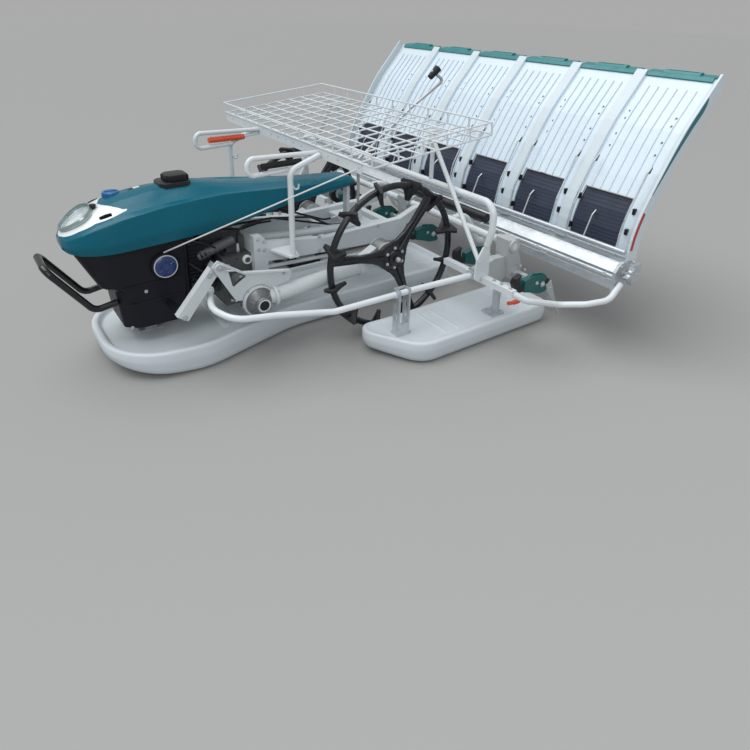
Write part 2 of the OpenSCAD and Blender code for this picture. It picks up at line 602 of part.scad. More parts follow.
module hand_loops() color(white) place() both() {
    tube([[rack_front + 0.5, loop_y, 684], [505, loop_y, 690], [505, loop_y, 633], [362, loop_y, 640]],
        8, 24);
    rod([rack_front + 0.5, loop_y, 668], [312, loop_y, 662], 4);
    // tab that ties the loop to the front post
    box([358, loop_y + 4, 636], [372, post_y - 10.3, 644]);
}
// last bend and rear end of a handlebar, and the way its grip points
bar_bend = [-1000, 285, 692];
bar_end = [handle_rear + 10, 285, 813];
bar_way = unit(bar_end - bar_bend);
module black_grips() color(black) place() {
    rod([312.3, loop_y, 662], [455, loop_y, 660], 10);
    both() difference() {
        rod(bar_end + 10 * bar_way, bar_end - 120 * bar_way, 17);
        rod(bar_end + 0.3 * bar_way, bar_end - 140 * bar_way, 14.3);
    }
    difference() {
        translate([-437, 0, 888]) rotate([0, -50, 0]) cylinder(h = 52, r1 = 12, r2 = 16, center = true);
        rod([-491, 0, 855], [-425, 0, 897], 6.2);
    }
}
module orange_grip() color(orange) place() rod([312.3, -loop_y, 662], [455, -loop_y, 660], 10);
module shift_lever() color(steel) place()
    tube([[-70, 0, 400.3], [-70, 0, 575], [-330, 0, 760], [-491, 0, 855], [-425, 0, 897]], 6, 12);
module handlebars() color(white) place() {
    both() {
        tube([[cross_x - cross_r - seat, 285, cross_z], [-410, 285, cross_z], [-490, 285, 230], [-700,
            285, 258],
              bar_bend, bar_end], 14, 60);
        rod([-880, 285, 520], [-905, 285, 760], 8);
    }
    rod([-760, -285, 350], [-760, 285, 350], 12);
    rod([-905, -420, 760], [-905, 420, 760], 9);
}
module starter_rope() color(white) place() rod([768, 126, 395.2], [rack_front + 2, 470, 678], 2.5);

module swing_side() difference() {
    union() {
        // bearing cover and its bell
        disc_y(swing_x, swing_z, 242, 270, 58);
        cone_y(swing_x, swing_z, 269.5, 280, 57, 53);
        cone_y(swing_x, swing_z, 279.5, 304, 47, 29);
        disc_y(swing_x, swing_z, 303, 318, 27);
        rod([swing_x - 30, swing_y, swing_z + 4], [104, swing_y, 247], swing_tube_r);
        // flange between the cover and the tube, and the sleeve at the wheel end
        rod([458, swing_y, swing_z + 5.9], [448, swing_y, swing_z + 6.7], swing_tube_r + 9);
        rod([112, swing_y, 246], [92, swing_y, 248], swing_tube_r + 7);
        disc_y(0, wheel_r, 246, 308, 44);
        plate_xz([[100, 218], [100, 282], [0, wheel_r + 44], [-30, wheel_r + 32], [-30, wheel_r - 34]],
            248, 40);
        lift_plate();
        disc_y(641, 366, 259.3, 276, 12);
    }
    disc_y(swing_x, swing_z, 230, 301, output_r + fit_gap);
    disc_y(swing_x, swing_z, 290, 330, 17);
    disc_y(0, wheel_r, 240, 320, shaft_r + fit_gap);
}
// lift plate with a three-cornered window and a folded rim along its top
module lift_plate() {
    difference() {
        plate_xz([[652, 380], [642, 388], [630, 380], [560, 332], [392, 303], [380, 292], [392, 262],
                  [480, 240], [512, 220], [590, 232], [606, 260], [662, 366]], 262, 6);
        plate_xz([[610, 344], [602, 349], [552, 318], [550, 309], [592, 284], [599, 287]], 255, 24);
    }
    plate_xz([[630, 380], [560, 332], [392, 303], [393, 297], [562, 326], [632, 373]], 262, 16);
}
module swing_case_left() color(white) place() swing_side();
module swing_case_right() color(white) place() mirror([0, 1, 0]) swing_side();
// three-armed wheel centre with concave sides, as an outline about the hub
arm_turn = [8, 128, 248];
module star() union() {
    for (a = arm_turn) rotate([0, 0, a])
        polygon([[0, -44], [50, -32], [96, -20], [150, -12], [205, -10], [rim_r, -15],
                 [rim_r, 15], [205, 10], [150, 12], [96, 20], [50, 32], [0, 44]]);
    circle(50);
}
module wheel_side() translate([0, wheel_y, wheel_r]) rotate([90, 0, 0]) {
    translate([0, 0, -7]) linear_extrude(14) star();
    rotate_extrude() translate([rim_r, 0]) circle(rim_bar);
    // hub with its shaft, reaching inward into the swing case
    translate([0, 0, -20]) cylinder(h = 44, r = 30);
    translate([0, 0, 20]) cylinder(h = 60, r = shaft_r);
    translate([0, 0, -30]) cylinder(h = 12, r = 12);
}
// lug: a pointed paddle across the rim, turned about its own radius
lug_line = [[rim_r - 30, -10], [rim_r - 24, -30], [rim_r - 4, -lug_half], [wheel_r - 2, -20], [wheel_r, 0],
            [wheel_r - 2, 20], [rim_r - 4, lug_half], [rim_r - 24, 30], [rim_r - 30, 10]];
module lug_side() translate([0, wheel_y, wheel_r]) rotate([90, 0, 0]) difference() {
    for (i = [0:lug_count - 1]) rotate([0, 0, lug_list[i]]) rotate([(i % 2 * 2 - 1) * lug_twist, 0, 0])
        translate([0, lug_t / 2, 0]) rotate([90, 0, 0]) linear_extrude(lug_t) polygon(lug_line);
    rotate_extrude() translate([rim_r, 0]) circle(rim_bar);
}
module wheel_left() color(black) place() wheel_side();
module wheel_right() color(black) place() mirror([0, 1, 0]) wheel_side();
module lugs_left() color(black) place() lug_side();
module lugs_right() color(black) place() mirror([0, 1, 0]) lug_side();

tray_line = [for (r = refine(tray_rows, 2)) [r[1], r[0]]];
// tray profile moved forward by d, away from the panel
function tray_off(d) = let (n = len(tray_line)) [for (i = [0:n - 1])
    let (a = tray_line[max(i - 1, 0)], c = tray_line[min(i + 1, n - 1)], u = unit(c - a))
    tray_line[i] + [u[1], -u[0]] * d];
// outline between two such profiles, over their first n points
function strip(d0, d1, n = len(tray_line)) = let (a = tray_off(d0), b = tray_off(d1))
    concat([for (i = [0:n - 1]) b[i]], [for (i = [n - 1:-1:0]) a[i]]);
// heights of the window's lower and upper edge
window_low = 344;
window_high = 530;
module tray_panel() color(white) place() {
    difference() {
        union() {
            plate_xz(strip(-tray_t, 0), -tray_half, 2 * tray_half);
            // ribs between the dividers, which end below the caps
            rib_gap = (row_pitch - divider_w) / (rib_count + 1);
            for (y = row_list, i = [1:rib_count])
                plate_xz(strip(-1, rib_h, len(tray_line) - 1),
                         y - row_pitch / 2 + divider_w / 2 + i * rib_gap - rib_w / 2, rib_w);
        }
        for (y = row_list)
            plate_xz([[-600, window_low], [-660, window_low], [-710, window_high], [-650,
                window_high + 18]],
                     y + window_off - window_half, 2 * window_half);
    }
    for (y = bay_edges) if (abs(y) < tray_half - 10) plate_xz(strip(0, divider_h), y - divider_w / 2,
        divider_w);
}
module tray_sides() color(white) place() both() plate_xz(strip(-24, 30), tray_half, 8);
module tray_caps() color(teal) place() difference() {
    for (y = row_list) {
        plate_xz([[-948, 922], [-958, 934], [-996, 940], [-1000, 930], [-974, 912], [-960, 905]],
            y - 132, 264);
        plate_xz([[-962, 933], [-972, 944], [-990, 945], [-994, 938]], y - 70, 140);
    }
    plate_xz(strip(-tray_t - 0.5, 0.5), -tray_half - 1, 2 * tray_half + 2);
    for (y = bay_edges) plate_xz(strip(0, divider_h + 0.5), y - divider_w / 2 - 0.5, divider_w + 1);
    // finger recess in each cap's handle
    for (y = row_list) plate_xz([[-974, 950], [-972, 936], [-986, 939], [-986, 950]], y - 56, 112);
}
module feed_belts() color(black) place() for (y = row_list)
    plate_xz([[-629, window_low + 2], [-641, window_low + 2], [-668, 440], [-704, window_high - 2],
              [-690, window_high + 2], [-660, 480], [-638, 420]], y + window_off - window_half + seat,
             2 * (window_half - seat));
// X of the tray's cross shaft, whose ends lie a hair ahead of the side plates' edges
shaft_x = -589.6;
module mat_rods() color(steel) place() {
    disc_y(shaft_x, 372, -tray_half, tray_half, 9);
    for (y = row_list) {
        for (d = [-104, 114]) wire([[shaft_x, y + d, 372], [-612, y + d, 480], [-690, y + d, 632], [-712,
            y + d, 650]], 3);
        wire([[shaft_x, y - 26, 372], [-622, y - 26, 455], [-642, y - 26, 470]], 3);
    }
}

hood();
hood_cap();
lamp_lens();
lamp_bezel();
engine_shroud();
engine_block();
recoil_cover();
bumper();
gearbox();
main_frame();
front_stays();
float_centre();
float_left();
float_right();
float_brackets();
side_guard_left();
side_guard_right();
planting_beams();
planting_cases();
planting_arms();
arm_covers();
planting_claws();
guide_rail();
rail_ends();
arch_tube();
rack_supports();
rack_basket();
hand_loops();
black_grips();
orange_grip();
shift_lever();
handlebars();
starter_rope();
control_cables();
swing_case_left();
swing_case_right();
wheel_left();
wheel_right();
lugs_left();
lugs_right();
tray_panel();
tray_sides();
tray_caps();
feed_belts();
mat_rods();
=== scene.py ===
# Walk-behind rice transplanter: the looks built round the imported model.
# Everything is in metres in the row frame: +X to the engine end, +Y to the machine's left, +Z up.
import math
from math import cos, pi, radians, sin

import bmesh
import bpy
from mathutils import Matrix, Vector
from mathutils.bvhtree import BVHTree


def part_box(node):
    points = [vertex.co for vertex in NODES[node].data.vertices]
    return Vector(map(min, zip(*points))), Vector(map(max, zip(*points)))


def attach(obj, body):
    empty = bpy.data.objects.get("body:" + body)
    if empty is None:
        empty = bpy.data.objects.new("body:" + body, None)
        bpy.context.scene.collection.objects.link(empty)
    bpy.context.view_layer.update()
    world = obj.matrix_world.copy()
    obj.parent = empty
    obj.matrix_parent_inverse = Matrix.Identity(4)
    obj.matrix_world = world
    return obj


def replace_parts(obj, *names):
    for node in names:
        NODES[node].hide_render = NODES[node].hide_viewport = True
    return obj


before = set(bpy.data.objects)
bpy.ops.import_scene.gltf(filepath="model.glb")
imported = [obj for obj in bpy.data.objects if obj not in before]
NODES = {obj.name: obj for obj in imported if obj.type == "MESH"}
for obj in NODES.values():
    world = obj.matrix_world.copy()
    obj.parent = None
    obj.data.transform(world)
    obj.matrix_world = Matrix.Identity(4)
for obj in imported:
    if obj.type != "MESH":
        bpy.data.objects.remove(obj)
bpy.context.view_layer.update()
MM = 0.001

# The wheel axle is the zero of the drawing's X.
wheel_low, wheel_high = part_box("wheel_left")
AXLE_X = (wheel_low.x + wheel_high.x) / 2
SIDES = {"left": 1, "right": -1}


def at(x, y, z):
    """A point of the drawing, in mm from the axle, as a point of the row frame."""
    return Vector((AXLE_X + x * MM, y * MM, z * MM))


def new_object(name, data):
    ob = bpy.data.objects.new(name, data)
    bpy.context.scene.collection.objects.link(ob)
    return ob


# Camera: its place in the drawing's mm, angles in degrees, lens in the photo's pixels

PHOTO_W = 750
CAMERA_AT = (1272.1, 2020.4, 1151.9)
CAMERA_YAW = 35.4447
CAMERA_PITCH = 24.9612
CAMERA_ROLL = 1.3832
FOCAL_PX = 611.476
OPTICAL_CENTRE_V = 285
SENSOR_W = 36


def add_camera():
    yaw, pitch, roll = (radians(a) for a in (CAMERA_YAW, CAMERA_PITCH, CAMERA_ROLL))
    ahead = Vector((-sin(yaw), -cos(yaw), 0))
    forward = ahead * cos(pitch) + Vector((0, 0, -sin(pitch)))
    right0 = forward.cross(Vector((0, 0, 1))).normalized()
    up0 = right0.cross(forward)
    right = right0 * cos(roll) + up0 * sin(roll)
    up = up0 * cos(roll) - right0 * sin(roll)
    data = bpy.data.cameras.new("camera")
    data.sensor_width = SENSOR_W
    data.lens = FOCAL_PX * SENSOR_W / PHOTO_W
    data.shift_y = (OPTICAL_CENTRE_V - PHOTO_W / 2) / PHOTO_W
    data.clip_start = 0.05
    data.clip_end = 60
    cam = new_object("camera", data)
    turn = Matrix((right, up, -forward)).transposed().to_4x4()
    cam.matrix_world = Matrix.Translation(at(*CAMERA_AT)) @ turn
    bpy.context.scene.camera = cam


# Materials

DUST_RGB = (0.42, 0.40, 0.36)


def feed(made, inputs):
    """Gives each named input of a node a socket to link or a constant."""
    for key, value in inputs.items():
        if isinstance(value, bpy.types.NodeSocket):
            made.id_data.links.new(value, made.inputs[key])
        else:
            made.inputs[key].default_value = value
    return made


def node(tree, kind, inputs=(), **settings):
    """A new shader node with its settings and inputs."""
    made = tree.nodes.new("ShaderNode" + kind)
    for key, value in settings.items():
        setattr(made, key, value)
    return feed(made, dict(inputs))


def new_material(name):
    m = bpy.data.materials.new(name)
    m.use_nodes = True
    return m, m.node_tree, m.node_tree.nodes["Principled BSDF"]


def own_place(tree):
    """A place in the object's own metres."""
    return node(tree, "TexCoord").outputs["Object"]


def own_axis(tree, axis):
    return node(tree, "SeparateXYZ", {"Vector": own_place(tree)}).outputs[axis]


def ramp(tree, fac, stops):
    """A colour ramp from (place, grey or colour) pairs."""
    made = node(tree, "ValToRGB", {"Fac": fac})
    for el, (pos, col) in zip(made.color_ramp.elements, stops):
        el.position = pos
        el.color = (*col, 1) if isinstance(col, tuple) else (col, col, col, 1)
    return made.outputs["Color"]


def noise(tree, scale, detail, rough=0.5):
    return node(tree, "TexNoise", {"Vector": own_place(tree), "Scale": scale, "Detail": detail,
                                   "Roughness": rough}).outputs["Fac"]


def mix(tree, fac, a, b, blend="MIX"):
    """Mixes two colours; each of fac, a and b is a socket or a constant."""
    a, b = ((*c, 1) if isinstance(c, tuple) else c for c in (a, b))
    return node(tree, "Mix", {0: fac, 6: a, 7: b}, data_type="RGBA", blend_type=blend).outputs[2]


def sums(tree, how, *terms):
    """One arithmetic step on sockets or constants."""
    return node(tree, "Math", enumerate(terms), operation=how).outputs[0]


def paint_over(material, fac, colour, blend="MIX"):
    """Mixes a colour over a finish's own."""
    tree = material.node_tree
    base = tree.nodes["Principled BSDF"].inputs["Base Color"]
    tree.links.new(mix(tree, fac, base.links[0].from_socket, colour, blend), base)


def surface(name, rgb, rough, metallic=0.0, vary=0.08, vary_scale=6.0, rough_vary=0.12,
            bump=None, dust=0.0, coat=0.0, specular=0.5):
    """A finish with colour and roughness that drift, a fine bump and a little dust on what faces up.

    bump is its depth in metres and the scale of its noise.
    """
    m, tree, shader = new_material(name)
    m.diffuse_color = (*rgb, 1)
    feed(shader, {"Metallic": metallic, "Specular IOR Level": specular, "Coat Weight": coat, "Coat Roughness": 0.08})
    dark, light = (tuple(min(1, c * (1 + d)) for c in rgb) for d in (-vary, vary))
    colour = ramp(tree, noise(tree, vary_scale, 4), [(0.3, dark), (0.7, light)])
    if dust:
        normal = node(tree, "SeparateXYZ", {"Vector": node(tree, "NewGeometry").outputs["Normal"]})
        up = ramp(tree, normal.outputs["Z"], [(0.1, 0.0), (1.0, dust)])
        patch = ramp(tree, noise(tree, 9, 5, 0.65), [(0.35, 0.15), (0.7, 1.0)])
        colour = mix(tree, mix(tree, 1.0, up, patch, "MULTIPLY"), colour, DUST_RGB)
    streak = ramp(tree, noise(tree, vary_scale * 5, 4, 0.6),
                  [(0.25, max(0.02, rough - rough_vary)), (0.75, min(1, rough + rough_vary))])
    feed(shader, {"Base Color": colour, "Roughness": streak})
    if bump:
        fine = node(tree, "Bump", {"Strength": 1.0, "Distance": bump[0], "Height": noise(tree, bump[1], 3)})
        feed(shader, {"Normal": fine.outputs["Normal"]})
    return m


def clear_plastic(name):
    """The lamp's clear cover: see-through with a soft haze."""
    m, _, shader = new_material(name)
    feed(shader, {"Base Color": (0.80, 0.86, 0.88, 1), "Roughness": 0.08, "IOR": 1.49, "Alpha": 0.28})
    m.blend_method = "BLEND"
    m.diffuse_color = (0.8, 0.86, 0.88, 0.3)
    return m


# Each finish: the CAD nodes that it dresses, its colour and roughness, then what differs from surface()
FINISHES = {
    "teal": ("hood", (0.0003, 0.106, 0.156), 0.26,
             dict(vary=0.05, vary_scale=4, rough_vary=0.04, bump=(5e-5, 140), dust=0.01, coat=0.06, specular=0.22)),
    "white_tube": ("side_guard_left side_guard_right arch_tube rack_supports rack_basket hand_loops"
                   " handlebars planting_beams", (0.66, 0.70, 0.72), 0.34,
                   dict(vary=0.05, bump=(6e-5, 220), dust=0.12, coat=0.15)),
    "white_frame": ("main_frame swing_case_left swing_case_right", (0.60, 0.64, 0.66), 0.36,
                    dict(vary=0.07, bump=(1e-4, 180), dust=0.22, coat=0.1)),
    "stay": ("front_stays", (0.62, 0.66, 0.68), 0.36, dict(vary=0.06, bump=(1e-4, 180), dust=0.15)),
    "case_grey": ("planting_cases", (0.42, 0.44, 0.44), 0.46, dict(vary=0.10, bump=(4e-4, 160), dust=0.25)),
    "bezel": ("lamp_bezel", (0.74, 0.77, 0.78), 0.26, dict(vary=0.03, bump=(4e-5, 120), dust=0.05, coat=0.3)),
    "float": ("float_centre float_left float_right", (0.60, 0.65, 0.68), 0.44,
              dict(vary=0.05, vary_scale=3, bump=(2e-4, 60), dust=0.14)),
    "tray": ("tray_panel tray_sides", (0.66, 0.75, 0.82), 0.34,
             dict(vary=0.04, vary_scale=2.5, rough_vary=0.06, bump=(1e-4, 90), dust=0.04)),
    "tray_teal": ("tray_caps", (0.006, 0.190, 0.200), 0.34, dict(vary=0.07, bump=(1e-4, 150), dust=0.06)),
    "stripe": ("", (0.020, 0.150, 0.185), 0.36, dict(vary=0.04, bump=(4e-5, 60), dust=0.04)),
    "red": ("", (0.46, 0.025, 0.020), 0.36, dict(vary=0.05, bump=(4e-5, 60), dust=0.04)),
    "arm_teal": ("planting_arms", (0.003, 0.095, 0.095), 0.34, dict(vary=0.12, bump=(4e-4, 70), dust=0.08)),
    "black_plastic": ("hood_cap arm_covers", (0.012, 0.012, 0.015), 0.44,
                      dict(vary=0.15, bump=(2e-4, 260), dust=0.06, specular=0.4)),
    "shroud": ("engine_shroud engine_block", (0.011, 0.011, 0.017), 0.42,
               dict(vary=0.12, bump=(2e-4, 200), dust=0.02, specular=0.2)),
    "pipe_grey": ("", (0.12, 0.12, 0.13), 0.6, dict(metallic=0.3, vary=0.2, bump=(8e-4, 200), dust=0.1)),
    "cap_black": ("", (0.010, 0.010, 0.012), 0.36, dict(vary=0.12, bump=(1e-4, 300), dust=0.04, specular=0.4)),
    "dark": ("", (0.006, 0.006, 0.007), 0.8, dict(vary=0.2, specular=0.1)),
    "black_paint": ("bumper", (0.008, 0.008, 0.010), 0.26,
                    dict(vary=0.12, bump=(8e-5, 200), dust=0.04, coat=0.3, specular=0.4)),
    "wheel_black": ("wheel_left wheel_right", (0.010, 0.011, 0.015), 0.30,
                    dict(vary=0.12, bump=(2e-4, 120), dust=0.05, coat=0.2, specular=0.4)),
    "rubber": ("lugs_left lugs_right control_cables", (0.013, 0.013, 0.016), 0.55,
               dict(vary=0.2, bump=(4e-4, 180), dust=0.07, specular=0.35)),
    "belt": ("feed_belts", (0.032, 0.040, 0.068), 0.5, dict(vary=0.12, bump=(3e-4, 200), dust=0.06, specular=0.35)),
    "grip": ("black_grips", (0.011, 0.011, 0.013), 0.6, dict(vary=0.2, bump=(3e-4, 400), dust=0.05, specular=0.35)),
    "orange": ("orange_grip", (0.72, 0.10, 0.035), 0.46, dict(vary=0.1, bump=(2e-4, 300), dust=0.05)),
    "zinc": ("float_brackets guide_rail rail_ends planting_claws mat_rods", (0.58, 0.62, 0.65), 0.38,
             dict(metallic=0.6, vary=0.1, rough_vary=0.1, bump=(4e-5, 900), dust=0.15)),
    "cast_dark": ("gearbox", (0.115, 0.120, 0.125), 0.55, dict(metallic=0.5, vary=0.2, bump=(6e-4, 200), dust=0.12)),
    "cast_bell": ("", (0.20, 0.21, 0.22), 0.46, dict(metallic=0.7, vary=0.12, bump=(4e-4, 240), dust=0.08)),
    # dark grey for the tray's holes: painted shade standing in for their dark openings
    "hole_shade": ("", (0.10, 0.11, 0.12), 0.7, dict(vary=0.1, specular=0.2)),
    "chrome": ("shift_lever", (0.50, 0.51, 0.53), 0.42, dict(metallic=0.8, vary=0.04, rough_vary=0.05)),
    "mirror": ("", (0.42, 0.50, 0.50), 0.30, dict(metallic=0.8, vary=0.05, rough_vary=0.05)),
    "bulb": ("", (0.80, 0.82, 0.78), 0.12, dict(vary=0.03, rough_vary=0.03, coat=0.4)),
    "cap_blue": ("", (0.016, 0.115, 0.300), 0.30, dict(vary=0.06, coat=0.2, dust=0.03)),
    "blue": ("recoil_cover", (0.012, 0.034, 0.150), 0.30, dict(vary=0.1, coat=0.3, dust=0.05)),
    "rope": ("starter_rope", (0.60, 0.61, 0.58), 0.8, dict(vary=0.1, bump=(6e-4, 700))),
}
MAT = {key: surface(key, rgb, rough, **more) for key, (_, rgb, rough, more) in FINISHES.items()}
MAT["clear"] = clear_plastic("clear")
# in metres: half width of the black arm between the stays, and the width of a tray bay
STAY_ARM_HALF = 0.2235
BAY = 0.3
# half width of a divider, and of the painted shade band on it, as a share of a bay
DIVIDER_SHADE_SHARE = 0.0733


def tint_nodes():
    # the arm that ties the front stays to the engine is black
    tree = MAT["stay"].node_tree
    arm = sums(tree, "LESS_THAN", sums(tree, "ABSOLUTE", own_axis(tree, "Y")), STAY_ARM_HALF)
    paint_over(MAT["stay"], arm, (0.012, 0.012, 0.017))
    # each raised divider between the tray's six bays is painted a shade greyer: painted shade standing in for the
    # shadow along it
    tree = MAT["tray"].node_tree
    bays = sums(tree, "DIVIDE", own_axis(tree, "Y"), BAY)
    off = sums(tree, "ABSOLUTE", sums(tree, "SUBTRACT", bays, sums(tree, "ROUND", bays)))
    paint_over(MAT["tray"], sums(tree, "LESS_THAN", off, DIVIDER_SHADE_SHARE), (0.60, 0.67, 0.71))
    # zinc plating has a faint crystal pattern
    tree = MAT["zinc"].node_tree
    cell = node(tree, "TexVoronoi", {"Scale": 90, "Vector": own_place(tree)})
    paint_over(MAT["zinc"], 1.0, ramp(tree, cell.outputs["Color"], [(0.0, 0.86), (1.0, 1.0)]), "MULTIPLY")


def dress_nodes():
    dressed = [(key, row[0].split()) for key, row in FINISHES.items()] + [("clear", ["lamp_lens"])]
    for key, names in dressed:
        for name in names:
            mesh = NODES[name].data
            mesh.materials.clear()
            mesh.materials.append(MAT[key])


# Mesh building, in the drawing's mm

def unit(v):
    v = Vector(v)
    return v / v.length


def across(axis):
    """Two directions square to an axis."""
    axis = unit(axis)
    side = axis.cross(Vector((0, 0, 1)) if abs(axis.z) < 0.9 else Vector((1, 0, 0))).normalized()
    return side, axis.cross(side)


def fillet(points, radii, steps):
    """Rounds the corners of an open run of points; a corner's radius shrinks where its sides are short."""
    pts = [Vector(p) for p in points]
    out = [pts[0]]
    for i, (a, b, c) in enumerate(zip(pts, pts[1:], pts[2:]), 1):
        r = radii[i] if isinstance(radii, (list, tuple)) else radii
        u, v = a - b, c - b
        half = u.angle(v) / 2
        if r <= 0 or half > radians(89.5):
            out += [b.copy() for _ in range(steps + 1)]
            continue
        reach = min(r / math.tan(half), 0.49 * u.length, 0.49 * v.length)
        p, q = b + u.normalized() * reach, b + v.normalized() * reach
        # a quadratic curve, which lies close to the arc
        out += [p * (1 - t) ** 2 + b * 2 * t * (1 - t) + q * t * t for t in spread(0, 1, steps)]
    return out + [pts[-1]]


def spread(a, b, n):
    """The ends and the even steps between them."""
    return [a + (b - a) * k / n for k in range(n + 1)]


def circle(n, r=1.0, start=0.0):
    """Points round a circle, from start in degrees."""
    turns = [radians(start) + 2 * pi * k / n for k in range(n)]
    return [(r * cos(g), r * sin(g)) for g in turns]


def inset(outline, d):
    """A closed 2-D outline moved inward by d."""
    n = len(outline)
    area = sum(outline[i - 1][0] * outline[i][1] - outline[i][0] * outline[i - 1][1] for i in range(n))
    s = 1 if area > 0 else -1
    out = []
    for i in range(n):
        a, b, c = (Vector(outline[k % n]) for k in (i - 1, i, i + 1))
        u, v = (b - a).normalized(), (c - b).normalized()
        nu, nv = Vector((-u.y, u.x)), Vector((-v.y, v.x))
        out.append(b + (nu + nv) * s * d / max(0.3, 1 + nu.dot(nv)))
    return out


class Geo:
    """Faces gathered for one piece."""

    def __init__(self):
        self.verts = []
        self.faces = []

    def add(self, verts, faces):
        k = len(self.verts)
        self.verts += [Vector(v) for v in verts]
        self.faces += [tuple(k + i for i in f) for f in faces]
        return self

    def loft(self, rings, caps=True):
        m = len(rings[0])
        faces = []
        for a in range(0, (len(rings) - 1) * m, m):
            for i in range(m):
                j = (i + 1) % m
                faces.append((a + i, a + j, a + m + j, a + m + i))
        if caps:
            last = (len(rings) - 1) * m
            faces += [tuple(range(m))[::-1], tuple(range(last, last + m))]
        return self.add([p for r in rings for p in r], faces)

    def tube(self, path, r, sides=12, bend=0, steps=5):
        """A round bar along a path; r is one radius or one for each point."""
        pts = fillet(path, bend, steps) if bend else [Vector(p) for p in path]
        pts = [p for i, p in enumerate(pts) if i == 0 or (p - pts[i - 1]).length > 1e-4]
        rs = r if isinstance(r, (list, tuple)) else [r] * len(pts)
        side = across(pts[1] - pts[0])[0]
        rings = []
        for i, p in enumerate(pts):
            to = unit(pts[min(i + 1, len(pts) - 1)] - pts[max(i - 1, 0)])
            side = (side - to * side.dot(to)).normalized()
            up = to.cross(side)
            rings.append([p + (side * c + up * s) * rs[i] for c, s in circle(sides)])
        return self.loft(rings)

    def lathe(self, profile, origin, axis, sides=24, caps=True):
        """Turns (radius, height) pairs about an axis."""
        origin, axis = Vector(origin), unit(axis)
        u, v = across(axis)
        return self.loft([[origin + axis * h + (u * c + v * s) * max(r, 0.01) for c, s in circle(sides)]
                          for r, h in profile], caps)

    def prism(self, outline, plane, a, b, bevel=0.0):
        """A plate between two levels, with its edges rounded; plane names the outline's two axes."""
        put = {"xz": lambda p, h: (p[0], h, p[1]), "xy": lambda p, h: (p[0], p[1], h),
               "yz": lambda p, h: (h, p[0], p[1])}[plane]
        if not bevel:
            return self.loft([[put(p, h) for p in outline] for h in (a, b)])
        turns = [0, pi / 4, pi / 2]
        rims = [(g, a, bevel) for g in turns] + [(g, b, -bevel) for g in turns[::-1]]
        return self.loft([[put(p, end + way * (1 - cos(g))) for p in inset(outline, bevel * (1 - sin(g)))]
                          for g, end, way in rims])

    def box(self, lo, hi, bevel=0.0):
        outline = [(lo[0], lo[1]), (hi[0], lo[1]), (hi[0], hi[1]), (lo[0], hi[1])]
        return self.prism(outline, "xy", lo[2], hi[2], bevel)

    def bolt(self, origin, axis, flats=5.5, washer=8.5, high=4.5):
        """A hexagon head on a washer, seated at origin."""
        self.lathe([(washer, 0), (washer, 1.0), (washer - 0.4, 1.4)], origin, axis, 18)
        self.lathe([(flats, 1.2), (flats, 1.2 + high * 0.8), (flats * 0.86, 1.2 + high)], origin, axis, 6)
        return self.lathe([(flats * 0.42, 1.2 + high * 0.9), (flats * 0.42, 2.6 + high)], origin, axis, 10)

    def bolts(self, places, axis, flats, washer, high):
        for p in places:
            self.bolt(p, axis, flats, washer, high)
        return self

    def twin(self):
        """Adds the same faces mirrored to the machine's right."""
        return self.add([(v.x, -v.y, v.z) for v in self.verts], [f[::-1] for f in self.faces])

    def on(self, side):
        """Moves the faces to the machine's right for side -1."""
        self.verts = [Vector((v.x, side * v.y, v.z)) for v in self.verts]
        return self

    def moved(self, matrix):
        self.verts = [matrix @ v for v in self.verts]
        return self

    def build(self, name, sharp=None):
        """The faces as an object: welded and, where sharp is given, cleaned and softened."""
        mesh = bpy.data.meshes.new(name)
        mesh.from_pydata([at(*v) for v in self.verts], [], self.faces)
        bm = bmesh.new()
        bm.from_mesh(mesh)
        bmesh.ops.remove_doubles(bm, verts=bm.verts, dist=2e-6)
        if sharp:
            bmesh.ops.dissolve_degenerate(bm, edges=bm.edges, dist=1e-6)
        bmesh.ops.recalc_face_normals(bm, faces=bm.faces)
        if sharp:
            soften(bm, sharp)
        bm.to_mesh(mesh)
        bm.free()
        return new_object(name, mesh)

    def make(self, name, key, slot, body="machine", sharp=32):
        ob = self.build(name, sharp)
        ob.data.materials.append(MAT[key])
        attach(ob, body)
        return ob


def soften(bm, sharp):
    """Smooth faces, with a hard edge wherever the surface turns by more than the given degrees."""
    limit = radians(sharp)
    for f in bm.faces:
        f.smooth = True
    for e in bm.edges:
        e.smooth = not (len(e.link_faces) == 2 and e.calc_face_angle() > limit)


def cut(piece, cutter, way="DIFFERENCE", sharp=40):
    """Cuts a piece with a Geo and applies the result."""
    tool = cutter.build("cutter")
    mod = piece.modifiers.new("cut", "BOOLEAN")
    mod.operation = way
    mod.solver = "EXACT"
    mod.object = tool
    graph = bpy.context.evaluated_depsgraph_get()
    done = bpy.data.meshes.new_from_object(piece.evaluated_get(graph))
    piece.modifiers.clear()
    piece.data = done
    bpy.data.objects.remove(tool)
    bm = bmesh.new()
    bm.from_mesh(done)
    soften(bm, sharp)
    bm.to_mesh(done)
    bm.free()


def both_sides(half):
    """A half outline of (x, y, radius) corners, and its mirror image."""
    return half + [(x, -y, r) for x, y, r in half[::-1]]


ORIGIN, ALONG, LEFT, UP = (0, 0, 0), (1, 0, 0), (0, 1, 0), (0, 0, 1)

# Hood and lamp

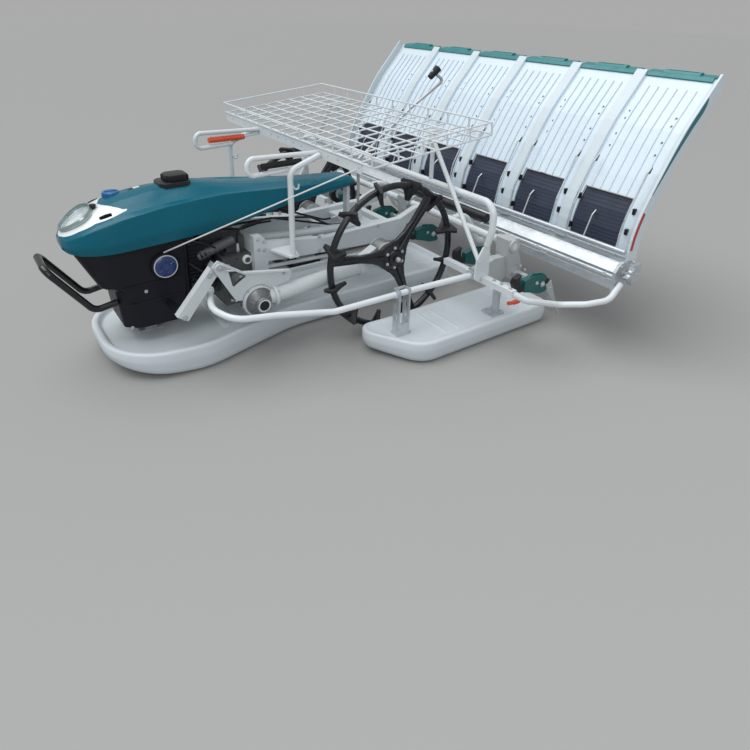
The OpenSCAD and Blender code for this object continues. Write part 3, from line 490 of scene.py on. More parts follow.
# Stations of the hood: X, then half width and height of the lower edge, the widest line, the
# shoulder crease, the hollow above it and the dome's edge, then the height of the top.
HOOD = [(1048, 40, 434, 46, 447, 38, 459, 30, 463, 18, 466, 468),
        (1034, 72, 427, 80, 444, 70, 468, 54, 475, 32, 480, 484),
        (1000, 104, 423, 114, 446, 104, 486, 80, 496, 46, 505, 512),
        (950, 128, 423, 138, 450, 128, 508, 100, 518, 60, 530, 539),
        (890, 140, 426, 149, 458, 137, 525, 110, 534, 74, 549, 560),
        (820, 142, 430, 151, 465, 137, 537, 108, 543, 82, 558, 576),
        (735, 142, 434, 150, 470, 132, 548, 102, 549, 74, 562, 587),
        (620, 138, 441, 146, 474, 128, 555, 96, 552, 60, 574, 587),
        (560, 134, 446, 141, 476, 123, 556, 92, 552, 60, 570, 578),
        (470, 126, 455, 132, 478, 113, 551, 88, 547, 62, 555, 562),
        (300, 102, 474, 108, 492, 93, 535, 78, 536, 58, 539, 545),
        (130, 76, 485, 82, 498, 72, 523, 62, 527, 50, 531, 534),
        (0, 52, 492, 56, 502, 49, 515, 42, 521, 36, 525, 528),
        (-28, 40, 495, 42, 500, 37, 507, 30, 510, 24, 512, 513)]
# the white bezel begins above one seam and the clear cover above the other, as X and Z
BEZEL_SEAM = [(1052, 466), (1000, 495), (950, 518), (890, 535), (850, 546)]
LENS_SEAM = [(1052, 472), (1000, 505), (950, 533), (922, 549)]
# half width of the hood's tongue between the two halves of the bezel
TONGUE = [(855, 90), (862, 90), (884, 66), (905, 38), (914, 18), (918, 0), (930, 0)]


def slope(t, i, j):
    def chord(k):
        return (t[k + 1][j] - t[k][j]) / (t[k + 1][0] - t[k][0])
    if i in (0, len(t) - 1):
        return chord(min(i, len(t) - 2))
    p, q = chord(i - 1), chord(i)
    return 0 if p * q <= 0 else 2 * p * q / (p + q)


def refine(t, k):
    """The table with k rows for each of its own, on curves that don't overshoot."""
    out = []
    for i in range(len(t) - 1):
        w = t[i + 1][0] - t[i][0]
        for s in (n / k for n in range(k)):
            out.append([t[i][0] + s * w] + [
                (2 * s ** 3 - 3 * s * s + 1) * t[i][j] + (s ** 3 - 2 * s * s + s) * w * slope(t, i, j)
                + (3 * s * s - 2 * s ** 3) * t[i + 1][j] + (s ** 3 - s * s) * w * slope(t, i + 1, j)
                for j in range(1, len(t[0]))])
    return out + [list(t[-1])]


HOOD_ROWS = refine(HOOD, 6)


def level(line, x):
    """Height of a seam at X."""
    pts = sorted(line)
    for (x0, z0), (x1, z1) in zip(pts, pts[1:]):
        if x <= x1:
            return z0 + (z1 - z0) * (x - x0) / (x1 - x0)
    return pts[-1][1]


def hood_ring(s, t, steps=4):
    """Section of the hood at a station, drawn smaller by t, as a run of points from side to side."""
    x = s[0]
    half = [(s[1] - t, s[2]), (s[3] - t, s[4]), (s[5] - t, s[6] - 0.6 * t), (s[7] - 0.6 * t, s[8] - t),
            (s[9] - 0.4 * t, s[10] - t), (0.55 * s[9], s[10] + 0.84 * (s[11] - s[10]) - t)]
    run = [Vector((x, y, z)) for y, z in half] + [Vector((x, 0, s[11] - t))]
    run += [Vector((x, -p.y, p.z)) for p in run[5::-1]]
    soft = [0, 50, 5, 12, 12, 60, 90]
    return fillet(run, soft + soft[5::-1], steps)


# a height above the hood and a half width beyond it, for the solids that cut it
ABOVE, BESIDE = 700, 200


def block(rows, side=1):
    """A solid of upright oblongs, from rows of X, two widths and two heights."""
    return Geo().loft([[(x, side * y, z) for y, z in ((y0, z0), (y1, z0), (y1, z1), (y0, z1))]
                       for x, y0, y1, z0, z1 in rows])


def slab(line_low, line_high, x0, x1):
    """Solid between two seams over a stretch of X, as wide as the hood and more."""
    return block([(x, -BESIDE, BESIDE, level(line_low, x), level(line_high, x) if line_high else ABOVE)
                  for x in spread(x0, x1, 40)])


def add_hood():
    skin = Geo().loft([hood_ring(s, 0) + hood_ring(s, 3)[::-1] for s in HOOD_ROWS])
    hood = skin.make("hood_skin", "teal", "hood", sharp=48)
    # opening for the lamp, one half at a time
    rows = [(x, (level(TONGUE, x) if x < TONGUE[-1][0] else 0) or -1, BESIDE, level(BEZEL_SEAM, x), ABOVE)
            for x in spread(853, 1102.6, 48)]
    for side in (1, -1):
        cut(hood, block(rows, side), sharp=48)
    # closed tail, and a nose closed up to the lamp
    ends = Geo()
    for pair in (HOOD_ROWS[:2], HOOD_ROWS[-2:]):
        ends.loft([hood_ring(s, 1.5) for s in pair])
    ends.verts = [Vector((v.x, v.y, min(v.z, 464) if v.x > 1000 else v.z)) for v in ends.verts]
    ends.make("hood_ends", "teal", "hood")
    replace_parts(hood, "hood")


BOWL_AT = Vector((990, 0, 516))
BOWL_ALONG = unit((0.861, 0, -0.509))
BOWL_UP = unit((0.509, 0, 0.861))
LAMP_SLOT = [(934, 87, 528), (916, 90.6, 533), (899, 94, 538)]


def bowl_rings(size, high):
    """Rings of an ellipsoid lying along the nose, from its lowest point to a height as part of its depth."""
    rings = []
    for h in (sin(g) for g in spread(-pi / 2, math.asin(high), 14)):
        r = max(0.02, math.sqrt(max(0, 1 - h * h)))
        rings.append([BOWL_AT + BOWL_UP * 30 * h * size + BOWL_ALONG * 62 * r * size * c
                      + Vector((0, (64 - 17 * c) * r * size * s, 0)) for c, s in circle(44)])
    return rings


def add_lamp():
    solid = Geo().loft([hood_ring(s, 0.8) for s in HOOD_ROWS if s[0] > 840])
    bezel = solid.make("lamp_housing", "bezel", "lamp_bezel", sharp=40)
    cut(bezel, slab(BEZEL_SEAM, LENS_SEAM, 850, 1046), "INTERSECT")
    # the hood's tongue, with a gap of 0.4 round it
    tongue = [(x, max(0.4, level(TONGUE, x) + 0.4)) for x in range(840, 924, 6)]
    cut(bezel, block([(x, -w, w, 400, ABOVE) for x, w in tongue]))
    # bowl of the reflector, let into the housing
    cut(bezel, Geo().loft(bowl_rings(1, 1)))
    # slot low on each flank, its hollow darkened below with painted shade
    for side in (1, -1):
        cut(bezel, Geo().tube([(x, side * y, z) for x, y, z in LAMP_SLOT], [7, 9, 7], 10))
    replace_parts(bezel, "lamp_bezel")
    lining = Geo().loft(bowl_rings(0.985, 0.30) + bowl_rings(0.93, 0.30)[::-1], caps=False)
    lining.make("lamp_reflector", "mirror", "lamp_bezel", sharp=60)
    centre = BOWL_AT - BOWL_UP * 24
    bulb = Geo().lathe([(7, 0), (7, 6), (6, 7), (6.4, 11), (5, 15), (0.1, 16.5)], centre, BOWL_UP, 20)
    bulb.make("lamp_bulb", "bulb", "lamp_lens")
    collar = Geo().lathe([(13, -3), (13, 2), (9, 4), (8, 3)], centre, BOWL_UP)
    collar.make("lamp_collar", "black_plastic", "hood_cap")
    # a matte near-black lining just inside each slot: painted shade for the slot's hollow
    for name, side in SIDES.items():
        slot_shade = Geo().tube([(x, side * (y - 3.5), z - 1.5) for x, y, z in LAMP_SLOT], [5.5, 7.5, 5.5], 10)
        slot_shade.make(f"lamp_slot_{name}", "dark", "hood_cap")
    # clear cover, thin and domed
    shell = Geo().loft([hood_ring(s, 0) + hood_ring(s, 2)[::-1] for s in HOOD_ROWS if s[0] > 900])
    cover = shell.make("lamp_cover", "clear", "lamp_lens", sharp=60)
    cut(cover, slab(LENS_SEAM, None, 918, 1050), "INTERSECT", 60)
    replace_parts(cover, "lamp_lens")
    # bright bead along the cover's edge
    for name, side in SIDES.items():
        path = []
        for x in spread(1034, 929, 25):
            z = level(LENS_SEAM, x)
            y = edge_width(x, z)
            if y is not None:
                path.append((x, side * (y - 0.4), z + 0.3))
        Geo().tube(path, 1.3, 8).make(f"lamp_bead_{name}", "bezel", "lamp_bezel")


def section(x):
    """The hood's outer section at any X."""
    for a, b in zip(HOOD_ROWS, HOOD_ROWS[1:]):
        if b[0] <= x <= a[0]:
            s = (x - a[0]) / (b[0] - a[0])
            return hood_ring([p + (q - p) * s for p, q in zip(a, b)], 0)


def edge_width(x, z):
    """Half width of the hood at an X and a height, on the dome; None above its top."""
    ring = section(x)
    half = ring[len(ring) // 2::-1]
    for a, b in zip(half, half[1:]):
        if min(a.z, b.z) <= z <= max(a.z, b.z) and a.z != b.z:
            return a.y + (b.y - a.y) * (z - a.z) / (b.z - a.z)


def roof(x, y):
    """Height of the hood's skin at a place on its roof."""
    ring = section(x)
    return max(a.z + (b.z - a.z) * (y - a.y) / (b.y - a.y) for a, b in zip(ring, ring[1:])
               if min(a.y, b.y) <= y <= max(a.y, b.y) and a.y != b.y)


def add_hood_fittings():
    # stepped filler cap: a seat, a ribbed body and a brim
    base, body = ([p[:2] for p in both_sides(half)] for half in (
        [(626, -34, 0), (640, -46, 0), (714, -46, 0), (728, -32, 0)],
        [(630, -22, 0), (643, -35, 0), (690, -35, 0), (703, -22, 0)]))
    g = Geo().prism(base, "xy", 562, 595, 3)
    g.prism(body, "xy", 592, 616.5, 3)
    g.prism(inset(body, 4), "xy", 613, 617, 1.2)
    for k in range(7):
        y = -24 + 8 * k
        for x in (627.4, 701):
            g.box((x, y - 1.6, 596), (x + 4.6, y + 1.6, 612), 0.7)
    for k in range(6):
        x = 646 + 8.2 * k
        for y in (33, -37.4):
            g.box((x - 1.6, y, 596), (x + 1.6, y + 4.4, 612), 0.7)
    cap = g.make("filler_cap", "cap_black", "hood_cap")
    knob = Geo().lathe([(8.9, 530), (8.9, 549), (9.6, 550), (9.6, 555), (8.2, 557), (3, 557.4)], (937, 20, 0), UP)
    for c, s in circle(12, 9.4):
        knob.tube([(937 + c, 20 + s, z) for z in (550, 556)], 0.9, 6)
    knob.make("lamp_knob", "cap_black", "hood_cap")
    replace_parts(cap, "hood_cap")
    # fuel cap: a knurled rim and a finger bar over the blue disc
    ring = Geo().lathe([(25.1, 556), (27.4, 556), (27.4, 569), (26, 572.5), (24.4, 573.2), (21, 572.2)],
                       FUEL_CAP, UP, 36)
    for c, s in circle(28, 27.4):
        ring.tube([(FUEL_CAP[0] + c, FUEL_CAP[1] + s, z) for z in (558, 569)], 1.1, 6)
    ring.box((847, -44, 571), (885, -36, 576.5), 1.6)
    ring.make("fuel_cap_rim", "cap_blue", "recoil_cover")
    # small blank two-tone patch just behind the lamp
    for name, key, slot, x0, x1 in (("patch_dark", "cap_black", "hood_cap", 800, 816),
                                    ("patch_pale", "bezel", "lamp_bezel", 780, 800)):
        rings = []
        for x in spread(x0, x1, 8):
            row = [(x, y, roof(x, y)) for y in (-30, -24, -18, -12)]
            rings.append([(x, y, z + 0.9) for x, y, z in row] + [(x, y, z - 0.8) for x, y, z in row[::-1]])
        Geo().loft(rings).make(name, key, slot)


# Floats

def arcs(corners, steps=10):
    """Closed outline with true arcs at its corners."""
    out = []
    n = len(corners)
    for i, (x, y, r) in enumerate(corners):
        b = Vector((x, y))
        a, c = Vector(corners[i - 1][:2]), Vector(corners[(i + 1) % n][:2])
        u, v = (a - b).normalized(), (c - b).normalized()
        h = math.acos(max(-1, min(1, u.dot(v)))) / 2
        m = b + (u + v).normalized() * r / sin(h)
        s = b + u * r / math.tan(h) - m
        turn = (pi - 2 * h) * (1 if u.x * v.y - u.y * v.x < 0 else -1)
        g0 = math.atan2(s.y, s.x)
        out += [(m.x + r * cos(g0 + turn * k / steps), m.y + r * sin(g0 + turn * k / steps))
                for k in range(steps + 1)]
    return out


def resample(outline, pitch):
    """Adds points along a closed outline's long sides."""
    out = []
    for i, a in enumerate(outline):
        b = outline[(i + 1) % len(outline)]
        n = max(1, round(math.dist(a, b) / pitch))
        out += [(a[0] + (b[0] - a[0]) * k / n, a[1] + (b[1] - a[1]) * k / n) for k in range(n)]
    return out


def float_shell(outline, x0, x1, lift, high, rim, drop):
    """A blow-moulded float: rounded keel, full sides, a soft rim and a sunken deck.

    Its levels are the outline moved in by a distance, a height, and how far the bow rises there.
    """
    def rise(x, h):
        return 0 if x < x0 else h * ((x - x0) / (x1 - x0)) ** 2
    levels = [(34, 0, lift), (24, 0.8, lift), (15, 4.5, lift), (8, 12, lift), (4, 24, lift * 0.8),
              (1.8, 0.48 * high, lift * 0.55), (0.2, 0.58 * high, lift * 0.42), (0.2, 0.64 * high, lift * 0.36),
              (1.0, high - 9, 8), (2.6, high - 3.6, 6.5), (5.5, high - 0.9, 6), (9, high, 6),
              (rim - 8, high, 6), (rim - 4, high - 0.12 * drop, 5), (rim, high - 0.42 * drop, 3),
              (rim + 3, high - 0.74 * drop, 1.4), (rim + 7, high - 0.95 * drop, 0.4), (rim + 12, high - drop, 0)]
    return Geo().loft([[(x, y, z + rise(x, h)) for x, y in inset(outline, d)] for d, z, h in levels])


CENTRE = resample(arcs(both_sides([(994, 235, 200), (690, 268, 300), (330, 168, 400), (-480, 168, 60)])), 26)
SIDE = resample(arcs([(-560, 402, 45), (246, 402, 55), (84, 650, 120), (-560, 650, 45)]), 26)


def add_floats():
    g = float_shell(CENTRE, 700, 994, 44, 98, 26, 16)
    # long pressed ridges on the deck, and a cross step where the bow begins
    for mid in (-96, -48, 48, 96):
        ridge = [(mid - 13, 81), (mid - 8, 86.5), (mid + 8, 86.5), (mid + 13, 81)]
        g.loft([[(x, y, z if 0 < k < 3 else 81.2) for y, z in ridge]
                for k, x in enumerate((-430, -418, 318, 330))])
    for x in (520, 590):
        g.prism([(x - 14, 81), (x - 8, 86), (x + 8, 86), (x + 14, 81)], "xz", -150, 150)
    centre = g.make("float_hull_centre", "float", "float_centre", sharp=50)
    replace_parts(centre, "float_centre")
    for name, side in SIDES.items():
        s = float_shell(SIDE, 20, 205, 24, 84, 22, 3)
        for x in (-470, -410, -110, -50):
            s.prism([(x - 9, 80.4), (x - 5, 82.6), (x + 5, 82.6), (x + 9, 80.4)], "xz", 440, 615)
        hull = s.on(side).make(f"float_hull_{name}", "float", f"float_{name}", sharp=50)
        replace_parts(hull, f"float_{name}")


# Wheels

WHEEL_Y = 342
WHEEL_Z = 290
RIM_R = 270
HUB_R = 50
ARM_TURNS = (8, 128, 248)
# a wheel arm, as distance from the hub and half width
ARM = [(0, 60), (40, 44), (60, 31), (96, 20), (150, 13.5), (205, 11.5), (240, 13), (262, 19), (270, 24)]


def star_outline():
    """Three concave arms about the hub, as points by angle."""
    out = []
    for k in range(240):
        g = 2 * pi * k / 240
        best = HUB_R
        for arm in ARM_TURNS:
            d = (g - radians(arm) + pi) % (2 * pi) - pi
            if abs(d) > radians(75):
                continue
            r = RIM_R
            while r > best and r * abs(sin(d)) > level(ARM, r * cos(d)):
                r -= 0.5
            best = max(best, r)
        out.append(Vector((best * cos(g), best * sin(g))))
    return out


def add_wheel(name, side):
    body = f"wheel_{name}"
    # wheel pieces are built about Z at the origin, then stood up on the axle
    place = (Matrix.Diagonal((1, side, 1, 1)) @ Matrix.Translation((0, WHEEL_Y, WHEEL_Z))
             @ Matrix.Rotation(radians(90), 4, "X"))
    # a cast web with a raised rounded back
    star = star_outline()
    rings = []
    for shrink, z in ((7, -8.5), (2.5, -7.6), (0, -5), (0, 5), (2.5, 7.6), (7, 8.5)):
        ring = [p * (1 - shrink / max(60, p.length)) if p.length < 268 else p for p in star]
        rings.append([(*p, z) for p in ring])
    g = Geo().loft(rings)
    # rim bar
    rings = [[((RIM_R + 12 * p) * c, (RIM_R + 12 * p) * s, 13 * q) for p, q in circle(14)] for c, s in circle(96)]
    g.loft(rings + rings[:1], caps=False)
    # ridge along each arm, on both faces
    for c, s in circle(3, 1, ARM_TURNS[0]):
        for z in (-1, 1):
            path = [(d * c, d * s, z * h) for d, h in ((34, 13), (80, 10), (150, 8.6), (256, 7.6))]
            g.tube(path, [7.5, 5.5, 4.2, 4.2], 10)
    g.lathe([(50, -9), (46, -12), (32, -15), (29, -20), (29, -22), (24, -24), (13, -24), (13, -30), (11, -31),
             (0.1, -31)], ORIGIN, UP, 40)
    g.lathe([(50, 9), (46, 12), (32, 15), (30, 24), (12, 24), (12, 80), (0.1, 80)], ORIGIN, UP, 40)
    wheel = g.moved(place).make(f"wheel_skin_{name}", "wheel_black", f"wheel_{name}", body, sharp=40)
    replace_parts(wheel, f"wheel_{name}")
    nuts = Geo().lathe([(10, -30), (10, -38), (8, -40), (0.1, -40)], ORIGIN, UP, 6)
    nuts.lathe([(5, -38), (5, -45), (4, -46), (0.1, -46)], ORIGIN, UP, 16)
    nuts.bolts([(c, s, -13.4) for c, s in circle(6, 38, 30)], (0, 0, -1), 4.5, 6.5, 4)
    nuts.moved(place).make(f"wheel_nuts_{name}", "zinc", f"wheel_{name}", body)
    # lugs: pointed paddles across the rim, with a raised root
    lugs = Geo()
    edge = [(214, -7), (238, -17), (262, -31), (280, -46), (289.5, -36)]
    paddle = edge + [(290, 0)] + [(r, -w) for r, w in edge[::-1]]
    for k in range(12):
        one = Geo().prism(paddle, "xz", -6.5, 6.5, 2.6)
        one.tube([(222, 0, 0), (262, 0, 0), (286, 0, 0)], [6, 13, 6], 10)
        twist = Matrix.Rotation(radians((k % 2 * 2 - 1) * 20), 4, "X")
        one.moved(Matrix.Rotation(radians(15 + 30 * k), 4, "Z") @ twist)
        lugs.add(one.verts, one.faces)
    lug = lugs.moved(place).make(f"lug_skin_{name}", "rubber", f"lugs_{name}", body, sharp=40)
    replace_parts(lug, f"lugs_{name}")


# Swing cases

SWING_X, SWING_Z = 512, 214
# ends of the swing tube's middle line
TUBE_FROM, TUBE_TO = Vector((482, 268, 218)), Vector((104, 268, 247))


def add_swing_details(name, side):
    body = f"swing_{name}"
    slot = f"swing_case_{name}"
    x, z = SWING_X, SWING_Z
    # cast bearing cover over the swing shaft, its ribs and its open nose
    g = Geo().lathe([(58.6, 243), (58.6, 268), (57, 270.6), (52.5, 271.2), (52.5, 278), (50.5, 280.6), (47.6, 281.2),
                     (40.5, 292), (31.5, 302.6), (28.2, 304.6), (27.6, 317), (26.6, 318.2), (23.4, 318.2),
                     (22.8, 317), (22.8, 302)], (x, 0, z), LEFT, 48, caps=False)
    for c, s in circle(6, 1, 20):
        rib = [(x + r * c, y, z + r * s) for r, y in ((29, 303), (34, 301), (45, 286), (51, 276))]
        g.tube(rib, [2.4, 2.6, 2.6, 2.2], 8)
    g.on(side).make(f"swing_cover_{name}", "cast_bell", slot, body, sharp=38)
    hole = Geo().lathe([(22.7, 303), (22.7, 316.6), (19, 316.6), (17.2, 318.6), (0.1, 318.6)], (x, 0, z), LEFT, 32)
    hole.on(side).make(f"swing_seal_{name}", "cap_black", slot, body)
    nuts = Geo().bolts([(x + c, 270, z + s) for c, s in circle(6, 55.4, -10)], LEFT, 4, 5.6, 4)
    # bolts of the tube's flange
    way = unit(TUBE_TO - TUBE_FROM)
    u, v = across(way)
    flange = TUBE_FROM + (TUBE_TO - TUBE_FROM) * (TUBE_FROM.x - 448) / (TUBE_FROM.x - TUBE_TO.x)
    nuts.bolts([flange + (u * c + v * s) * 32.4 for c, s in circle(6, 1, 18)], way, 3.6, 5, 3.6)
    nuts.bolt((641, 276, 366), LEFT, 7, 11, 6)
    nuts.bolts([(412, 268, 292), (500, 268, 246)], LEFT, 4.5, 7, 4)
    nuts.on(side).make(f"swing_bolts_{name}", "zinc", slot, body)
    # cast cover of the axle housing at the wheel end
    end = Geo().lathe([(44.5, 249), (44.5, 303), (42.5, 307), (36, 308.6), (20, 308.6), (18, 306)],
                      (0, 0, WHEEL_Z), LEFT, 44, caps=False)
    end.on(side).make(f"axle_cover_{name}", "cast_bell", slot, body)


def surface_of(name):
    """Finds places on a CAD node's surface."""
    mesh = NODES[name].data
    return BVHTree.FromPolygons([v.co for v in mesh.vertices], [p.vertices for p in mesh.polygons])


def hit(tree, start, way):
    """Where a line in drawing mm first meets a surface, and the surface's direction there."""
    spot, normal, _, _ = tree.ray_cast(at(*start), Vector(way))
    if spot is None:
        return None, None
    return Vector(((spot.x - AXLE_X) / MM, spot.y / MM, spot.z / MM)), normal


# Engine

# Front edge of the shroud by height, with the roundness of its front corners: X, Z, radius.
SHROUD = [(1030, 431, 64), (1010, 388, 70), (990, 346, 76), (966, 296, 70), (948, 286, 60), (926, 274, 46),
          (921, 216, 40), (916, 158, 34), (914, 141, 30)]
# Its rear edge: X, Z.
SHROUD_REAR = [(690, 431), (693, 350), (700, 240), (716, 186), (732, 141)]
SHROUD_HALF = 118
RECOIL = (768, 0, 348)
FUEL_CAP = (866, -40, 0)
# ends of the exhaust pipe
EXHAUST = Vector((648, 90, 342)), Vector((520, 104, 386))


def add_engine():
    rings = []
    for x, z, r in SHROUD:
        rear = level(sorted((q, p) for p, q in SHROUD_REAR), z)
        # half width of the nose, reach and half width of its shoulder
        nose, back, wide = (60, 60, 116) if z > 380 else (78, 44, 117)
        run = both_sides([(x, nose, r * 0.5), (x - back, wide, back), (rear, SHROUD_HALF, 8)])
        rings.append([(*p, z) for p in arcs(run[-1:] + run[:-1], 5)])
    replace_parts(Geo().loft(rings).make("shroud_skin", "shroud", "engine_shroud", sharp=30), "engine_shroud")
    # pressed ribs and the lip along the split line
    trim = Geo()
    for z in (300, 236):
        trim.tube([(720, SHROUD_HALF + 0.5, z), (905, SHROUD_HALF + 0.5, z - 6)], 3, 8)
    trim.tube([(x, SHROUD_HALF, z) for x, z in ((694, 428), (700, 244), (730, 146))], 4, 8)
    trim.twin().make("shroud_ribs", "shroud", "engine_shroud")
    bolts = Geo().bolts([(x, SHROUD_HALF, z) for x, z in ((838, 270), (898, 152), (748, 158))], LEFT, 4, 6, 3.5)
    bolts.twin().make("shroud_bolts", "zinc", "engine_shroud")
    # recoil starter: black dish, pale ring and blue centre
    dish = Geo().lathe([(46, 117), (46, 126), (44, 131), (40.5, 133), (39, 131), (39, 128), (0.1, 128)],
                       RECOIL, LEFT, 48)
    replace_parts(dish.make("recoil_dish", "shroud", "engine_shroud", sharp=40), "recoil_cover")
    pale = Geo().lathe([(39.4, 128), (39.4, 132), (38.4, 134), (36.6, 134.4), (35.6, 133), (35.6, 128)],
                       RECOIL, LEFT, 48)
    pale.make("recoil_ring", "white_frame", "lamp_bezel", sharp=40)
    blue = Geo().lathe([(35.4, 128), (35.4, 133), (31, 136), (22, 138.4), (20, 136.6), (13, 136.6), (11.5, 139),
                        (0.1, 139.6)], RECOIL, LEFT, 48)
    x, _, z = RECOIL
    for c, s in circle(12):
        blue.tube([(x + r * c, y, z + r * s) for r, y in ((14, 137.2), (28, 138))], 1.5, 6)
    blue.make("recoil_disc", "blue", "recoil_cover", sharp=40)
    disc = Geo().lathe([(25, 552), (25, 571), (22, 573), (0.1, 573.4)], FUEL_CAP, UP, 36)
    disc.make("fuel_cap_disc", "cap_blue", "recoil_cover", sharp=40)
    # engine behind the shroud: cooling fins, small parts, exhaust pipe and hoses
    fins = Geo()
    for z in range(262, 397, 15):
        fins.prism(arcs([(598, 96, 10), (688, 108, 10), (688, 60, 6), (598, 60, 6)], 3), "xy", z, z + 5, 1)
    fins.box((606, 60, 250), (682, 98, 400), 6)
    fins.make("engine_fins", "shroud", "engine_block")
    parts = Geo().lathe([(22, 0), (24, 4), (24, 30), (20, 36), (12, 40), (12, 52)], (612, 98, 300), (-0.2, 1, 0.1), 20)
    parts.box((636, 96, 214), (686, 114, 258), 5)
    parts.lathe([(30, 0), (30, 22), (26, 28), (10, 30)], (622, 84, 238), LEFT)
    parts.box((560, 40, 392), (640, 104, 428), 9)
    parts.make("engine_small_parts", "black_plastic", "engine_block")
    a, b = EXHAUST
    pipe = Geo().tube([a, b], 17, 20)
    for k in range(7):
        s = 0.12 + 0.12 * k
        pipe.tube([a.lerp(b, s), a.lerp(b, s + 0.04)], 18.6, 20)
    pipe.make("exhaust_pipe", "pipe_grey", "engine_block")
    hoses = Geo()
    for path in ([(690, 104, 420), (640, 116, 400), (590, 112, 372), (560, 96, 330), (536, 110, 306)],
                 [(684, 100, 330), (650, 122, 300), (606, 124, 282), (560, 118, 300), (520, 128, 322)],
                 [(676, 96, 270), (640, 118, 250), (600, 112, 262), (566, 100, 290)],
                 [(640, 60, 425), (560, 66, 418), (470, 60, 400), (400, 44, 404), (340, 30, 398)],
                 [(640, 40, 430), (520, 30, 436), (420, 10, 424), (340, -10, 410)]):
        hoses.tube(path, 3.6, 10, bend=50, steps=6)
    hoses.make("engine_hoses", "rubber", "control_cables")
    clips = Geo()
    for x, y, z in ((606, 124, 282), (566, 100, 290), (560, 66, 418)):
        clips.lathe([(5, -3), (6, -2), (6, 2), (5, 3)], (x, y, z), (1, 0.1, 0.1), 12)
    clips.make("hose_clips", "zinc", "float_brackets")


# outer faces of the gearbox and of the frame channels, and the round cover's middle
GEARBOX_HALF, FRAME_HALF = 129.7, 160
ROUND_COVER = (486, 0, 312)


def add_gearbox_details():
    # ringed round cover on the near side, seen white with a dark middle
    ring = Geo().lathe([(17, 129), (17, 137), (15.5, 139.4), (10.5, 140), (9.5, 137), (9.5, 131)],
                       ROUND_COVER, LEFT, 32)
    ring.make("gearbox_cover", "bezel", "gearbox", sharp=40)
    plug = Geo().lathe([(9.4, 130), (9.4, 137.6), (7, 138.6), (0.1, 138.6)], ROUND_COVER, LEFT)
    plug.make("gearbox_plug", "dark", "hood_cap")
    bolts = Geo()
    for x, z in ((452, 160), (500, 160), (550, 168), (562, 232), (556, 300), (452, 318), (448, 240)):
        bolts.bolt((x, GEARBOX_HALF, z), LEFT, 5, 7, 4)
    for x, z in ((452, 388), (452, 350), (430, 376), (430, 344), (208, 352), (208, 296), (-60, 346), (-60, 288),
                 (-282, 372), (-282, 356)):
        bolts.bolt((x, FRAME_HALF, z), LEFT, 5, 7.5, 4.5)
    bolts.twin().make("frame_bolts", "zinc", "float_brackets")
    # cast ribs over the case
    ribs = Geo()
    for x in (470, 500, 530, 556):
        ribs.prism([(x - 3, 176), (x + 3, 176), (x + 3, 286), (x - 3, 286)], "xz", 128, 134, 1)
    ribs.twin().make("gearbox_ribs", "cast_dark", "gearbox")
    # bolts round the neck flanges
    neck = Geo().bolts([(SWING_X + c, FRAME_HALF, SWING_Z + s) for c, s in circle(6, 51, 15)], LEFT, 4.5, 6.5, 4)
    neck.twin().make("neck_bolts", "zinc", "float_brackets")


# Guards and cables

GUARD_RUN = [(655, 205, 262), (690, 300, 244), (650, 392, 232), (515, 415, 222), (330, 470, 208), (40, 538, 246),
             (-172, 592, 270)]
REAR_RUN = [(-180, 780, 268), (-215, 812, 246), (-372, 826, 196), (-440, 890, 206), (-470, 953.3, 240),
            (-520, 953.3, 290)]
CABLES = ([(506, 104, 338.3), (506, 104, 424), (380, 104, 438), (200, 80, 404), (70, 40, 328), (-3.7, 40, 328)],
          [(556, -30, 338.3), (556, -30, 412), (300, -60, 424), (60, -60, 328), (-3.7, -60, 328)],
          [(600, 20, 376), (572, 20, 376), (535, 20, 408), (330, 30, 408), (60, 15, 328), (-3.7, 15, 328)])


def add_guards():
    for name, side in SIDES.items():
        g = Geo().tube(GUARD_RUN, 11, 18, bend=90, steps=9)
        g.tube(REAR_RUN, 11, 18, bend=44, steps=8)
        # flattened end under the stay, with the seat that carries it
        g.lathe([(14, -6), (14, 6)], GUARD_RUN[0], Vector(GUARD_RUN[1]) - Vector(GUARD_RUN[0]), 18)
        skin = g.on(side).make(f"guard_skin_{name}", "white_tube", f"side_guard_{name}", sharp=50)
        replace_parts(skin, f"side_guard_{name}")
        # clamp plates and screws where the tubes meet the beam
        bits = Geo().box((-200, 574, 256), (-160, 604, 284), 3)
        bits.bolt((-180, 590, 284), UP, 6, 9, 5)
        bits.bolts([(-180, 570, 282), (-180, 690, 282)], UP, 5, 7.5, 5)
        bits.bolt((-168, 640, 270), ALONG, 5, 7.5, 5)
        bits.bolt((-192, 640, 270), (-1, 0, 0), 5, 7.5, 5)
        bits.bolts([(-180, 724, 281), (-180, 766, 281)], UP, 4.5, 7, 4)
        bits.on(side).make(f"beam_screws_{name}", "zinc", "float_brackets")
    g, ends = Geo(), Geo()
    for path in CABLES:
        g.tube(path, 4, 12, bend=60, steps=8)
        for a, b in (path[:2], path[:-3:-1]):
            ends.lathe([(6.5, 0), (6.5, 12), (5.5, 14), (5.5, 26), (4.4, 30)], a, Vector(b) - Vector(a), 12)
    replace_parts(g.make("cable_skin", "rubber", "control_cables", sharp=50), "control_cables")
    ends.make("cable_ends", "zinc", "float_brackets")


def add_stay_details():
    """Clamps and bolts at the top and foot of the flat front stays."""
    g = Geo().bolts([(645, 254, 358), (668, 254, 336), (762, 254, 210)], LEFT, 6, 9, 5)
    g.prism([(622, 350), (650, 376), (662, 362), (636, 338)], "xz", 222, 258, 2)
    g.prism([(634, 336), (656, 356), (664, 346), (643, 327)], "xz", 222, 257, 2)
    g.tube([(640, 262, 352), (612, 282, 352), (596, 286, 350)], 3, 8, bend=12)
    g.twin().make("stay_clamps", "zinc", "float_brackets")


# Tray

# line of the tray's panel: Z, X
TRAY_ROWS = [(339, -627), (410, -632), (479, -652), (542, -683), (653, -748), (758, -815), (844, -889), (931, -964)]
# middles of the six bays
BAYS = [-750 + 300 * k for k in range(6)]
BACK = (-1, 0, 0)


